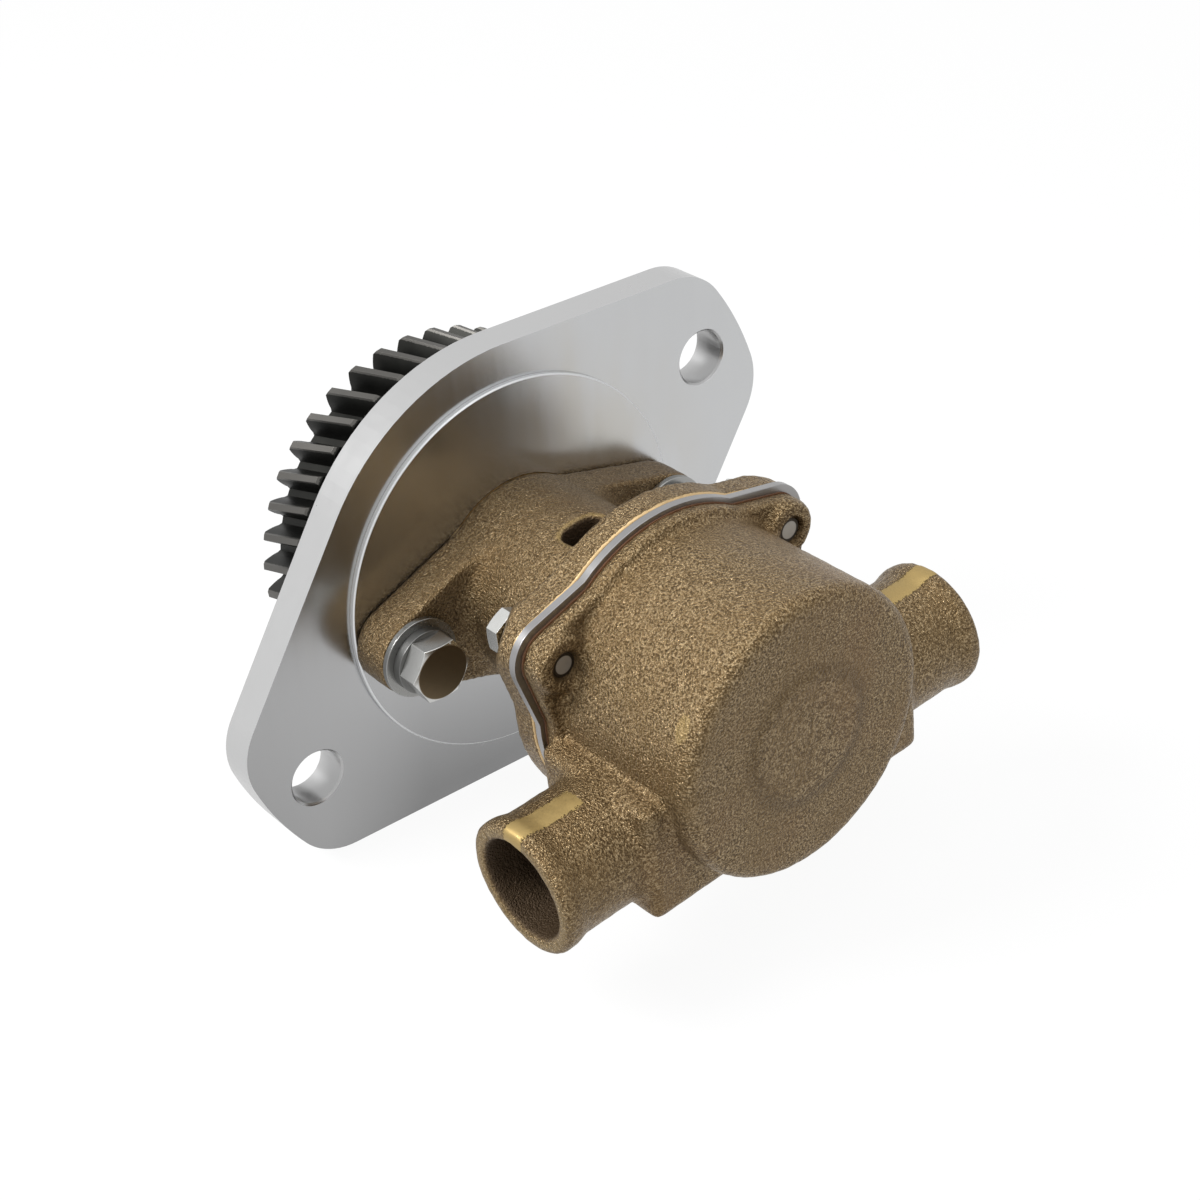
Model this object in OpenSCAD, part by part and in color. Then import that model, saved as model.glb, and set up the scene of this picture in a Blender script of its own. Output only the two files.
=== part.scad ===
// Gear-driven raw water pump on a two-bolt engine flange
// The shaft lies along Y. The origin is on the shaft axis, in the plane where the
// adapter plate seats on the engine. The drive gear is at +Y and the pump end at -Y.
// Stations named *_z count from that plane along the shaft, positive toward the pump end.

/* [Adapter plate] */
// Thickness of the plate
plate_t = 9.5; // [6:0.5:14]
// Radius of the plate's round middle, to which the straight edges are tangent
plate_waist_r = 60; // [56:1:66]
// Radius of the two ends, about the shaft
plate_end_r = 87; // [84:1:94]
// Radius of the four outer corners
plate_corner_r = 18; // [10:1:24]
// Distance between the two engine bolt holes
engine_hole_spacing = 146; // [140:1:152]
// Diameter of the engine bolt holes
engine_hole_d = 14.3; // [11:0.1:17]
// Tilt of the line through the engine bolt holes, which also sets the straight edges
engine_hole_tilt = 29.2; // [25:0.1:33]
// Diameter of the pilot that enters the engine
pilot_d = 101.6; // [96:0.2:108]
// Length of the pilot
pilot_h = 9; // [5:0.5:12]
// Diameter of the raised face on the pump side
raised_face_d = 100.4; // [98:0.2:110]
// Height of the raised face
raised_face_h = 1.5; // [1:0.25:4]
// Chamfer on the edges of the turned faces and of the holes
plate_chamfer = 0.6; // [0.2:0.1:1.2]

/* [Bearing housing] */
// Turn of the pump about its shaft, relative to the plate
pump_clock = 5.9; // [0:0.1:12]
// Distance from the foot's face to the front of the flange
housing_len = 55.5; // [50:0.5:70]
// Thickness of the two-bolt foot
foot_t = 11.5; // [8:0.5:16]
// Rounding of the foot's lower edge, drawn as a step
foot_base_step = 0.7; // [0.3:0.1:1]
// Radius of the foot round each bolt
foot_ear_r = 10.5; // [9:0.5:12]
// Radius of the foot's middle
foot_waist_r = 23.6; // [22:0.2:28]
// Distance between the two foot bolts
foot_bolt_spacing = 80.8; // [76:0.2:84]
// Outer radius of the neck
neck_r = 24.5; // [23.5:0.25:28]
// Radius of the fillets at both ends of the neck
neck_fillet_r = 4; // [2:0.5:6]
// Radius of the spigot in the plate
spigot_r = 24; // [23:0.25:26]
// Length of the spigot behind the foot's face
spigot_len = 17.5; // [16.5:0.5:20]
// Thickness of the round flange
housing_flange_t = 7.5; // [6:0.5:9]
// Height of the screw bosses on the back of the flange
housing_boss_h = 2.2; // [0.5:0.1:3]
// How far the housing's flange stands out beyond the body's flange
housing_rim_margin = 1.5; // [0:0.25:3]
// Radius of the flange's ears
housing_ear_r = 8.8; // [7.5:0.1:10]
// Bevel on the back of the ears' tips
housing_ear_bevel = 5; // [0.5:0.25:6]
// Width of the weep windows across the shaft
weep_w = 12; // [8:0.5:16]
// Length of the weep windows along the shaft
weep_len = 7.6; // [5:0.2:9]
// Corner radius of the weep windows
weep_corner_r = 2.4; // [1:0.1:3]
// Distance from the foot's face to the near edge of the weep windows
weep_start = 26.9; // [26:0.1:28]

/* [Pump body] */
// Distance from the gasket face to the closed end
body_len = 44.6; // [42:0.5:56]
// Outer radius of the round body
body_r = 36; // [35:0.25:38]
// Radius on the edge of the closed end
body_end_fillet_r = 3.4; // [1:0.2:4.5]
// Thickness of the body's flange
body_flange_t = 3.8; // [3:0.2:6]
// How far the body's flange stands out beyond the round body, between its ears
body_rim_margin = 2.5; // [1:0.25:4]
// Radius of the body's ears
body_ear_r = 7.5; // [6.5:0.1:9]
// Height of the screw bosses above the gasket face
body_boss_h = 6.1; // [5:0.1:8]
// How far the screw circle stands out beyond the round body
screw_circle_margin = 4; // [3:0.25:6]
// Thickness of the wall round the impeller chamber
body_wall_t = 3.7; // [3:0.1:5]
// Thickness of the closed end
end_wall_t = 5; // [3:0.25:7]
// Radius of the low pad on the closed end
end_pad_r = 16.5; // [10:0.5:24]
// Height of that pad
end_pad_h = 0.4; // [0.2:0.1:1]
// Half the width of the port block
port_block_half_w = 42.4; // [40:0.2:46]
// Radius on the edges of the port block
port_block_edge_r = 3; // [1:0.5:5]
// Half the height of the port block
port_block_half_h = 15.8; // [15.7:0.1:17]
// Distance from the gasket face to the front of the port block
port_block_front = 37.7; // [37:0.1:40]

/* [Ports] */
// Distance from the gasket face to the port axis
port_station = 20.6; // [20:0.1:22]
// Drop of the port axis below the shaft
port_drop = 16.2; // [14:0.1:18]
// Distance from the shaft to each port's mouth
port_reach = 65.5; // [60:0.5:80]
// Outer radius of the port tubes
port_r = 15.6; // [14.5:0.1:16.5]
// Radius of the bores through the ports
port_bore_r = 12.3; // [10:0.1:13]
// Height of the hose bead above the tube
bead_h = 1; // [0.4:0.1:1.6]
// Length of the hose bead, from its foot to the mouth
bead_len = 7; // [5:0.5:9]

/* [Wear plate and gasket] */
// Thickness of the wear plate
wear_plate_t = 2; // [1:0.1:3]
// How far the wear plate stands out beyond the body's flange
wear_plate_margin = 1.2; // [0.5:0.1:2]
// The same at the ears
wear_plate_ear_margin = 1.9; // [0.5:0.1:2]
// Radius of the hole in the wear plate
wear_plate_hole_r = 14.5; // [13.5:0.1:16]
// Thickness of the body gasket
gasket_t = 0.4; // [0.3:0.1:0.8]
// Thickness of the disc at the closed end of the chamber
end_disc_t = 1; // [0.6:0.1:2]

/* [Drive gear] */
// Number of teeth
teeth = 38; // [30:1:44]
// Module of the teeth
gear_module = 2.5; // [2:0.1:2.6]
// Width of the teeth
gear_w = 16; // [12:0.5:22]
// Gap between the pilot's end and the gear
gear_gap = 4.5; // [3:0.5:8]
// Phase of the teeth about the shaft
gear_phase = 7.2; // [0:0.1:10]
// Chamfer on the ends of the teeth
tooth_chamfer = 0.9; // [0.3:0.1:1.5]
// Radius of the gear's hub
gear_hub_r = 12; // [11:0.25:12.2]
// Depth of the recess in each face of the gear
gear_recess = 3; // [1:0.5:4]

/* [Shaft and bearings] */
// Shaft radius in the bearings
shaft_r = 8.5; // [8:0.1:9]
// Shaft radius in the impeller
impeller_seat_r = 8; // [7:0.1:8]
// Shaft radius under the gear nut
shaft_thread_r = 7; // [6:0.25:7.5]
// Outer radius of the ball bearings
bearing_r = 20; // [19.5:0.1:20.2]
// Width of the ball bearings
bearing_w = 12; // [11:0.25:12.5]
// Number of balls in each bearing
balls = 8; // [6:1:9]
// Radius of the balls
ball_r = 3.37; // [3:0.01:3.5]
// Length of the spacer between the inner races
spacer_len = 9; // [6:0.25:9.5]
// Thickness of the bearing circlip
circlip_t = 1.5; // [1:0.1:2]
// Width of the key slots
key_w = 5; // [3:0.5:6]
// Length of the gear key
gear_key_len = 14; // [10:0.5:16]
// Length of the impeller key
impeller_key_len = 28; // [20:1:32]

/* [Seals] */
// Outer radius of the oil seal
oil_seal_r = 15; // [14:0.25:16]
// Width of the oil seal
oil_seal_w = 6; // [5:0.25:6.2]
// Outer radius of the rubber cup round the seal seat
seat_cup_r = 14; // [13.4:0.1:15]
// Width of the rubber cup
seat_cup_w = 6.5; // [5.5:0.25:7]
// Outer radius of the seal seat
seat_r = 12; // [11.5:0.1:12.2]
// Depth of the web behind the seal seat
seat_web = 2; // [1:0.25:2.5]
// Width of the carbon seal ring
seal_ring_w = 4; // [3:0.25:5]
// Wire radius of the seal spring
seal_wire_r = 0.6; // [0.4:0.05:0.8]

/* [Impeller and cam] */
// Number of vanes
vanes = 10; // [6:1:12]
// Radius of the rubber at the root of the vanes
vane_root_r = 17; // [15:0.25:19]
// Thickness of the vanes
vane_t = 3; // [2:0.1:4]
// Radius of the bead on each vane's tip
vane_tip_r = 2.2; // [1.6:0.1:2.6]
// Radius of the brass hub
hub_r = 11.5; // [11:0.1:13]
// Rise of the cam above the chamber wall
cam_rise = 2.2; // [1.5:0.1:4]
// Arc that the cam covers
cam_arc = 56; // [40:1:58]

/* [Fasteners] */
// Diameter of the foot bolts
foot_bolt_d = 9.5; // [8:0.5:10]
// Width across flats of the foot bolts
foot_bolt_af = 14.3; // [13:0.1:17]
// Head height of the foot bolts
foot_bolt_head_h = 6; // [5:0.1:8]
// Length of the foot bolts under the head
foot_bolt_len = 25; // [22:1:26]
// Diameter of the foot bolts' flat washers
foot_washer_d = 20.6; // [18:0.1:21]
// Thickness of the foot bolts' flat washers
foot_washer_t = 1.6; // [1:0.1:2.5]
// Diameter of the foot bolts' spring washers
spring_washer_d = 16.6; // [14:0.1:18]
// Thickness of the foot bolts' spring washers
spring_washer_t = 2.4; // [1.2:0.1:2.6]
// Diameter of the body screws
body_screw_d = 6; // [5:0.5:6]
// Width across flats of the body screws
body_screw_af = 10; // [8:0.5:10]
// Head height of the body screws
body_screw_head_h = 4; // [3:0.1:5]
// How far the body screws end below the face of their bosses
body_screw_sunk = 1; // [0.4:0.1:2]

/* [Clearances] */
// Radial clearance of a running fit
run_gap = 0.06; // [0.02:0.01:0.1]
// Radial clearance between pieces that are fixed together
fit_gap = 0.03; // [0.01:0.01:0.05]
// Gap between moving faces that don't touch
face_gap = 0.3; // [0.2:0.05:0.5]

/* [Hidden] */
$fn = 96;
eps = 0.01;
sink = 1;
small_chamfer = 0.8;
axis_turn = [90, 0, 0];

chamber_r = body_r - body_wall_t;
screw_circle_r = body_r + screw_circle_margin;
body_rim_r = body_r + body_rim_margin;
housing_rim_r = body_rim_r + housing_rim_margin;

raised_z = plate_t + raised_face_h;
foot_front_z = raised_z + foot_t;
housing_front_z = raised_z + housing_len;
housing_back_z = housing_front_z - housing_flange_t;
housing_boss_z = housing_back_z - housing_boss_h;
spigot_end_z = raised_z - spigot_len;
gasket_z = housing_front_z + wear_plate_t;
body_z = gasket_z + gasket_t;
body_end_z = body_z + body_len;
chamber_end_z = body_end_z - end_wall_t;
port_z = body_z + port_station;
port_y = -port_drop;

circlip_z = spigot_end_z + 2;
circlip_groove = 1.2;
circlip_play = 0.05;
rear_bearing_z = circlip_z + circlip_t;
front_bearing_z = rear_bearing_z + bearing_w + spacer_len;
bearing_stop_z = front_bearing_z + bearing_w;
weep_near_z = raised_z + weep_start;
weep_chamber_z = bearing_stop_z + oil_seal_w;
weep_chamber_r = oil_seal_r + 2.5;
ball_pitch_r = (shaft_r + bearing_r) / 2;
race_land = 2.3;
cage_half_t = 1.2;
cage_start = 0.8;

seat_cup_end_z = housing_back_z - 1;
seat_cup_z = seat_cup_end_z - seat_cup_w;
seat_web_z = seat_cup_z - seat_web;
seat_web_slope = 2;
seat_web_r = impeller_seat_r + 2;
seat_proud = 0.4;
seat_t = 5;
seal_face_z = seat_cup_end_z + seat_proud;
seal_ring_z = seal_face_z + run_gap;
bellows_z = seal_ring_z + seal_ring_w;
impeller_z = gasket_z + face_gap;
impeller_end_z = chamber_end_z - end_disc_t - face_gap;
hub_z = impeller_z - 1;
seal_washer_t = 1;
seal_washer_z = hub_z - seal_washer_t;
seal_wire_rest = seal_wire_r + 0.05;
seal_spring_lift = seal_washer_z - bellows_z - 2 * seal_wire_rest;
seal_spring_turns = max(1, floor(seal_spring_lift / (2.4 * seal_wire_r)));
impeller_r = chamber_r - cam_rise - face_gap;

gear_front_z = -pilot_h - gear_gap;
gear_back_z = gear_front_z - gear_w;
gear_washer_t = 2.5;
gear_washer_r = 14;
gear_nut_h = 11;
gear_nut_af = 22;
gear_nut_back_z = gear_back_z - gear_washer_t - gear_nut_h;
shaft_back_z = gear_nut_back_z - 2;
shaft_step_z = seat_web_z - 3;
shaft_front_z = impeller_end_z - 2;
slinger_t = 2.4;
slinger_r = 13;
slinger_z = weep_chamber_z + 4;

plate_edge_turn = 90 - engine_hole_tilt;
ear_angles = [30, 150, 270];
foot_bolt_turn = 55;
foot_bolt_gap = 0.5;
washer_gap = 0.25;
spring_washer_slit = 1.6;
spring_washer_turn = 60;
foot_waist_step = 0.3;
ear_waist_step = 2.2;
screw_hole_gap = 0.3;
boss_step = 0.3;
fillet_sink = 0.1;
screw_mouth_chamfer = 0.8;
o_ring_z = raised_z - 4.2;
o_ring_wire_r = 1;
o_ring_groove_w = 2.4;
o_ring_groove_t = 2;
body_screw_start_z = housing_boss_z;
body_screw_end_z = body_z + body_boss_h - body_screw_sunk;
foot_bolt_seat_z = foot_front_z + foot_washer_t + spring_washer_t;
foot_bolt_hole_end_z = foot_bolt_seat_z - foot_bolt_len - 2;

gear_key_z = gear_back_z + 1;
impeller_key_z = impeller_z + 3;
cam_screw_r = 2.5;
cam_screw_head_r = 4.5;
cam_screw_head_h = 2.5;
cam_screw_slot = 1;
port_root_taper = 1.6;
port_root_step = 0.1;

pressure_angle = 20;
pitch_r = teeth * gear_module / 2;
base_r = pitch_r * cos(pressure_angle);
tip_r = pitch_r + gear_module;
root_r = pitch_r - 1.25 * gear_module;
root_fillet = 0.8;
root_fillet_turn = 0.5;
backlash_turn = 0.15;
flank_steps = 5;

// Point at radius r and angle a
function polar(r, a) = [r * cos(a), r * sin(a)];

// Points on an arc about centre c, from angle a0 to a1 in n steps
function arc(c, r, a0, a1, n) = [for (i = [0 : n]) c + polar(r, a0 + (a1 - a0) * i / n)];

// Turns the shaft's frame into the part's frame
module on_shaft() {
    rotate(axis_turn)
        children();
}

// The same, with the pump's own turn about the shaft
module on_pump() {
    rotate(axis_turn)
        rotate([0, 0, pump_clock])
            children();
}

// Round solid from station z0 to station z1
module rod(r, z0, z1) {
    translate([0, 0, z0])
        cylinder(r = r, h = z1 - z0);
}

// Round solid with a chamfer at its far end
module chamfered_rod(r, z0, z1, c) {
    rotate_extrude()
        polygon([[0, z0], [r, z0], [r, z1 - c], [r - c, z1], [0, z1]]);
}

// Ring from station z0 to station z1
module ring(r_out, r_in, z0, z1) {
    rotate_extrude()
        translate([r_in, z0])
            square([r_out - r_in, z1 - z0]);
}

// Outline of a round plate with evenly spaced ears. The ears' straight edges are
// tangent to a waist circle a little inside the rim.
function eared_outline(rim_r, waist_r, ear_r, reach, angles) =
    let (
        step = 360 / len(angles),
        edge_turn = acos((waist_r - ear_r) / reach),
        rim_start = edge_turn - acos(waist_r / rim_r)
    )
    [for (a = angles) each concat(
        arc(polar(reach, a), ear_r, a - edge_turn, a + edge_turn, 14),
        arc([0, 0], rim_r, a + rim_start, a + step - rim_start, round(step / 8))
    )];

// Plate with that outline, from station z0 to station z1
module eared_plate(rim_r, waist_r, ear_r, reach, angles, z0, z1) {
    translate([0, 0, z0])
        linear_extrude(z1 - z0)
            polygon(eared_outline(rim_r, waist_r, ear_r, reach, angles));
}

// Hexagonal head with a turned chamfer, its seat at z = 0
module hex_head(af, h) {
    corner_r = af / sqrt(3);
    drop = (corner_r - af / 2) * 0.6;
    intersection() {
        cylinder(r = corner_r, h = h, $fn = 6);
        rotate_extrude()
            polygon([[0, 0], [corner_r, 0], [corner_r, h - drop], [af / 2 - 0.3, h], [0, h]]);
    }
}

// Key of rectangular section with round ends, lying along the shaft
module key_shape(w, h, z0, len, bottom_r) {
    for (z = [z0 + w / 2, z0 + len - w / 2])
        translate([0, bottom_r, z])
            rotate([-90, 0, 0])
                cylinder(d = w, h = h);
    translate([-w / 2, bottom_r, z0 + w / 2])
        cube([w, h, len - w]);
}

// Half of the plate's outline: an arc about the shaft between two rounded corners, then
// a straight edge and the waist's arc up to the other half
plate_half =
    let (
        corner_reach = plate_end_r - plate_corner_r,
        spread = plate_edge_turn - acos((plate_waist_r - plate_corner_r) / corner_reach)
    )
    concat(
        arc(polar(corner_reach, -spread), plate_corner_r, -plate_edge_turn, -spread, 10),
        [for (k = [-3 : 3]) polar(plate_end_r, spread * k / 4)],
        arc(polar(corner_reach, spread), plate_corner_r, spread, plate_edge_turn, 10),
        arc([0, 0], plate_waist_r, plate_edge_turn, 180 - plate_edge_turn, 16)
    );

// Cutter for a through hole with a chamfer at its far face
module countersunk_hole(r, z0, z1, c) {
    rotate_extrude()
        polygon([[0, z0 - eps], [r, z0 - eps], [r, z1 - c], [r + c, z1], [r + c, z1 + eps], [0, z1 + eps]]);
}

// Cutter for a through hole with a chamfer at each face
module chamfered_hole(r, z0, z1, c) {
    rotate_extrude()
        polygon([
            [0, z0 - eps],
            [r + c, z0 - eps],
            [r + c, z0],
            [r, z0 + c],
            [r, z1 - c],
            [r + c, z1],
            [r + c, z1 + eps],
            [0, z1 + eps]
        ]);
}

module adapter_plate() {
    color("silver")
        on_shaft()
            difference() {
                union() {
                    rotate(engine_hole_tilt)
                        linear_extrude(plate_t)
                            polygon(concat(plate_half, -plate_half));
                    chamfered_rod(raised_face_d / 2, plate_t - sink, raised_z, plate_chamfer / 2);
                    mirror([0, 0, 1])
                        chamfered_rod(pilot_d / 2, -sink, pilot_h, plate_chamfer);
                }
                chamfered_hole(spigot_r + fit_gap, -pilot_h, raised_z, plate_chamfer);
                for (side = [-1, 1]) {
                    translate(side * polar(engine_hole_spacing / 2, engine_hole_tilt))
                        countersunk_hole(engine_hole_d / 2, 0, plate_t, plate_chamfer);
                    translate(side * polar(foot_bolt_spacing / 2, pump_clock))
                        rod(foot_bolt_d / 2 + fit_gap, foot_bolt_hole_end_z, raised_z + eps);
                }
            }
}

// Turned profile of the neck, with a fillet into the flange
module neck_profile() {
    r = neck_fillet_r;
    polygon(concat(
        [[0, raised_z], [neck_r, raised_z]],
        arc([neck_r + r, housing_back_z - r], r, 180, 90, 6),
        [[neck_r + r, housing_back_z + sink], [0, housing_back_z + sink]]
    ));
}

// Outline of the foot drawn in by inset, from station z0 to station z1
module foot_plate(inset, z0, z1) {
    waist_r = foot_waist_r - inset;
    eared_plate(
        waist_r, waist_r - foot_waist_step, foot_ear_r - inset,
        foot_bolt_spacing / 2, [0, 180], z0, z1
    );
}

// Foot whose ears rise into the neck in a fillet that stays within the foot's outline
module foot() {
    r = neck_fillet_r;
    fillet_c = [neck_r + r - fillet_sink, foot_front_z + r];
    reach = foot_bolt_spacing / 2 + foot_ear_r + sink;
    foot_plate(foot_base_step, raised_z, foot_front_z - sink);
    intersection() {
        foot_plate(0, raised_z + foot_base_step, foot_front_z + r);
        rotate_extrude()
            polygon(concat(
                [[0, raised_z], [reach, raised_z], [reach, foot_front_z]],
                arc(fillet_c, r, 270, 180, 6),
                [[0, foot_front_z + r]]
            ));
    }
}

// Window with round corners, cut down through the top of the neck and through the bottom
module weep_windows() {
    x = weep_w / 2 - weep_corner_r;
    z0 = weep_near_z + weep_corner_r;
    z1 = weep_near_z + weep_len - weep_corner_r;
    reach = neck_r + neck_fillet_r;
    for (cx = [-x, x])
        for (cz = [z0, z1])
            translate([cx, 0, cz])
                rotate([90, 0, 0])
                    cylinder(r = weep_corner_r, h = 2 * reach, center = true);
    translate([-x - weep_corner_r, -reach, z0])
        cube([weep_w, 2 * reach, z1 - z0]);
    translate([-x, -reach, weep_near_z])
        cube([2 * x, 2 * reach, weep_len]);
}

// Everything bored out of the bearing housing, from the gear side to the flange
module housing_bores() {
    bearing_bore_r = bearing_r + fit_gap;
    seal_bore_r = oil_seal_r + fit_gap;
    cup_bore_r = seat_cup_r + fit_gap;
    mouth_taper = 3;
    rotate_extrude()
        polygon([
            [0, spigot_end_z - eps],
            [bearing_bore_r, spigot_end_z - eps],
            [bearing_bore_r, bearing_stop_z],
            [seal_bore_r, bearing_stop_z],
            [seal_bore_r, weep_chamber_z],
            [weep_chamber_r, weep_chamber_z + small_chamfer],
            [weep_chamber_r, seat_web_z - seat_web_slope],
            [seat_web_r + seat_web_slope, seat_web_z],
            [seat_web_r, seat_web_z],
            [seat_web_r, seat_cup_z],
            [cup_bore_r, seat_cup_z],
            [cup_bore_r, seat_cup_end_z],
            [cup_bore_r + mouth_taper, seat_cup_end_z + mouth_taper],
            [cup_bore_r + mouth_taper, housing_front_z + eps],
            [0, housing_front_z + eps]
        ]);
    ring(bearing_bore_r + circlip_groove, bearing_bore_r - sink, circlip_z, circlip_z + circlip_t);
}

// Round flange of the housing: three ears with raised screw bosses and bevelled tips
module housing_flange() {
    tip = screw_circle_r + housing_ear_r;
    intersection() {
        union() {
            eared_plate(
                housing_rim_r, housing_rim_r - ear_waist_step, housing_ear_r,
                screw_circle_r, ear_angles, housing_back_z, housing_front_z
            );
            for (a = ear_angles)
                translate(polar(screw_circle_r, a))
                    rod(housing_ear_r - boss_step, housing_boss_z, housing_back_z + sink);
        }
        rotate_extrude()
            polygon([
                [0, housing_boss_z - sink],
                [tip - housing_ear_bevel - sink, housing_boss_z - sink],
                [tip + sink, housing_boss_z + housing_ear_bevel + sink],
                [tip + sink, housing_front_z + sink],
                [0, housing_front_z + sink]
            ]);
    }
}

module bearing_housing() {
    color("darkgoldenrod")
        on_pump()
            difference() {
                union() {
                    rod(spigot_r, spigot_end_z, raised_z + sink);
                    foot();
                    rotate_extrude()
                        neck_profile();
                    housing_flange();
                }
                housing_bores();
                ring(
                    spigot_r + sink, spigot_r - o_ring_groove_t,
                    o_ring_z - o_ring_groove_w / 2, o_ring_z + o_ring_groove_w / 2
                );
                weep_windows();
                for (side = [-1, 1])
                    translate([side * foot_bolt_spacing / 2, 0, 0])
                        rod(foot_bolt_d / 2 + foot_bolt_gap, raised_z - eps, foot_front_z + eps);
                for (a = ear_angles)
                    translate(polar(screw_circle_r, a))
                        rod(body_screw_d / 2 + screw_hole_gap, housing_boss_z - eps, housing_front_z + eps);
            }
}

module housing_o_ring() {
    color("dimgray")
        on_pump()
            translate([0, 0, o_ring_z])
                rotate_extrude()
                    translate([spigot_r - o_ring_wire_r + fit_gap / 2, 0])
                        circle(r = o_ring_wire_r);
}

module foot_bolts() {
    color("lightgray")
        on_pump()
            for (side = [-1, 1])
                translate([side * foot_bolt_spacing / 2, 0, foot_bolt_seat_z]) {
                    rotate(foot_bolt_turn)
                        hex_head(foot_bolt_af, foot_bolt_head_h);
                    rod(foot_bolt_d / 2, -foot_bolt_len, eps);
                }
}

module foot_washers() {
    color("gainsboro")
        on_pump()
            for (side = [-1, 1])
                translate([side * foot_bolt_spacing / 2, 0, 0])
                    ring(foot_washer_d / 2, foot_bolt_d / 2 + washer_gap, foot_front_z, foot_front_z + foot_washer_t);
}

// Split spring washer, with its cut on the outer side
module foot_spring_washers() {
    z0 = foot_front_z + foot_washer_t;
    slit = spring_washer_slit;
    color("gray")
        on_pump()
            for (side = [-1, 1])
                translate([side * foot_bolt_spacing / 2, 0, 0])
                    difference() {
                        ring(spring_washer_d / 2, foot_bolt_d / 2 + washer_gap, z0, z0 + spring_washer_t);
                        rotate(side * spring_washer_turn)
                            translate([0, -slit / 2, z0 - eps])
                                cube([spring_washer_d, slit, spring_washer_t + 2 * eps]);
                    }
}

// Ball groove shared by the races, a little wider than the balls
module ball_groove(z0) {
    translate([0, 0, z0 + bearing_w / 2])
        rotate_extrude()
            translate([ball_pitch_r, 0])
                circle(r = ball_r + run_gap);
}

module outer_race(z0) {
    difference() {
        ring(bearing_r, ball_pitch_r + race_land, z0, z0 + bearing_w);
        ball_groove(z0);
    }
}

module inner_race(z0) {
    difference() {
        ring(ball_pitch_r - race_land, shaft_r + fit_gap, z0, z0 + bearing_w);
        ball_groove(z0);
    }
}

module ball_set(z0, r) {
    for (i = [0 : balls - 1])
        translate(concat(polar(ball_pitch_r, 360 * i / balls), z0 + bearing_w / 2))
            sphere(r = r);
}

// Crown cage that holds the balls from one side
module ball_cage(z0) {
    cage_end = bearing_w / 2 - 0.6;
    difference() {
        ring(ball_pitch_r + cage_half_t, ball_pitch_r - cage_half_t, z0 + cage_start, z0 + cage_end);
        ball_set(z0, ball_r + run_gap);
    }
}

module rear_bearing_outer_race() {
    color("slategray")
        on_shaft()
            outer_race(rear_bearing_z);
}

module rear_bearing_inner_race() {
    color("lightslategray")
        on_shaft()
            inner_race(rear_bearing_z);
}

module rear_bearing_balls() {
    color("white")
        on_shaft()
            ball_set(rear_bearing_z, ball_r);
}

module rear_bearing_cage() {
    color("wheat")
        on_shaft()
            ball_cage(rear_bearing_z);
}

module front_bearing_outer_race() {
    color("slategray")
        on_shaft()
            outer_race(front_bearing_z);
}

module front_bearing_inner_race() {
    color("lightslategray")
        on_shaft()
            inner_race(front_bearing_z);
}

module front_bearing_balls() {
    color("white")
        on_shaft()
            ball_set(front_bearing_z, ball_r);
}

module front_bearing_cage() {
    color("wheat")
        on_shaft()
            ball_cage(front_bearing_z);
}

module bearing_spacer() {
    color("silver")
        on_shaft()
            ring(ball_pitch_r - race_land, shaft_r + fit_gap, rear_bearing_z + bearing_w, front_bearing_z);
}

// Internal circlip with a gap and two pierced lugs
module bearing_circlip() {
    r_out = bearing_r + fit_gap + 1;
    r_in = r_out - 3;
    lug_r = 2;
    lug_hole_r = 0.8;
    lug_hole_step = 0.3;
    lug_turn = 9;
    mouth_turn = 3;
    color("dimgray")
        on_pump()
            translate([0, 0, circlip_z + circlip_play])
                linear_extrude(circlip_t - 2 * circlip_play)
                    difference() {
                        union() {
                            circle(r = r_out);
                            for (a = [-lug_turn, lug_turn])
                                translate(polar(r_in, 90 + a))
                                    circle(r = lug_r);
                        }
                        difference() {
                            circle(r = r_in);
                            for (a = [-lug_turn, lug_turn])
                                translate(polar(r_in, 90 + a))
                                    circle(r = lug_r);
                        }
                        for (a = [-lug_turn, lug_turn])
                            translate(polar(r_in - lug_hole_step, 90 + a))
                                circle(r = lug_hole_r);
                        polygon([[0, 0], polar(2 * r_out, 90 + mouth_turn), polar(2 * r_out, 90 - mouth_turn)]);
                    }
}

// Oil seal: a cased ring with a lip toward the bearing
module oil_seal() {
    z0 = bearing_stop_z;
    z1 = weep_chamber_z;
    lip_r = shaft_r + run_gap;
    color("black")
        on_shaft()
            rotate_extrude()
                polygon([
                    [oil_seal_r, z0 + 0.1],
                    [oil_seal_r, z1],
                    [lip_r + 0.8, z1],
                    [lip_r, z1 - 0.8],
                    [lip_r + 1, z1 - 1.8],
                    [lip_r, z0 + 1.2],
                    [lip_r + 1, z0 + 0.4],
                    [lip_r + 2.4, z0 + 2.4],
                    [oil_seal_r - 1.6, z1 - 2],
                    [oil_seal_r - 1.2, z0 + 0.1]
                ]);
}

// Rubber ring on the shaft that throws off leaking water
module slinger_ring() {
    color("black")
        on_shaft()
            rotate_extrude()
                polygon([
                    [shaft_r, slinger_z - slinger_t / 2],
                    [shaft_r + 2, slinger_z - slinger_t / 2],
                    [slinger_r, slinger_z - slinger_t / 6],
                    [slinger_r, slinger_z + slinger_t / 6],
                    [shaft_r + 2, slinger_z + slinger_t / 2],
                    [shaft_r, slinger_z + slinger_t / 2]
                ]);
}

module seal_seat_cup() {
    color("black")
        on_shaft()
            difference() {
                ring(seat_cup_r, seat_web_r, seat_cup_z, seat_cup_end_z);
                rod(seat_r + fit_gap, seal_face_z - seat_t - fit_gap, seat_cup_end_z + eps);
            }
}

module seal_seat() {
    color("ivory")
        on_shaft()
            ring(seat_r, impeller_seat_r + 1, seal_face_z - seat_t, seal_face_z);
}

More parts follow.
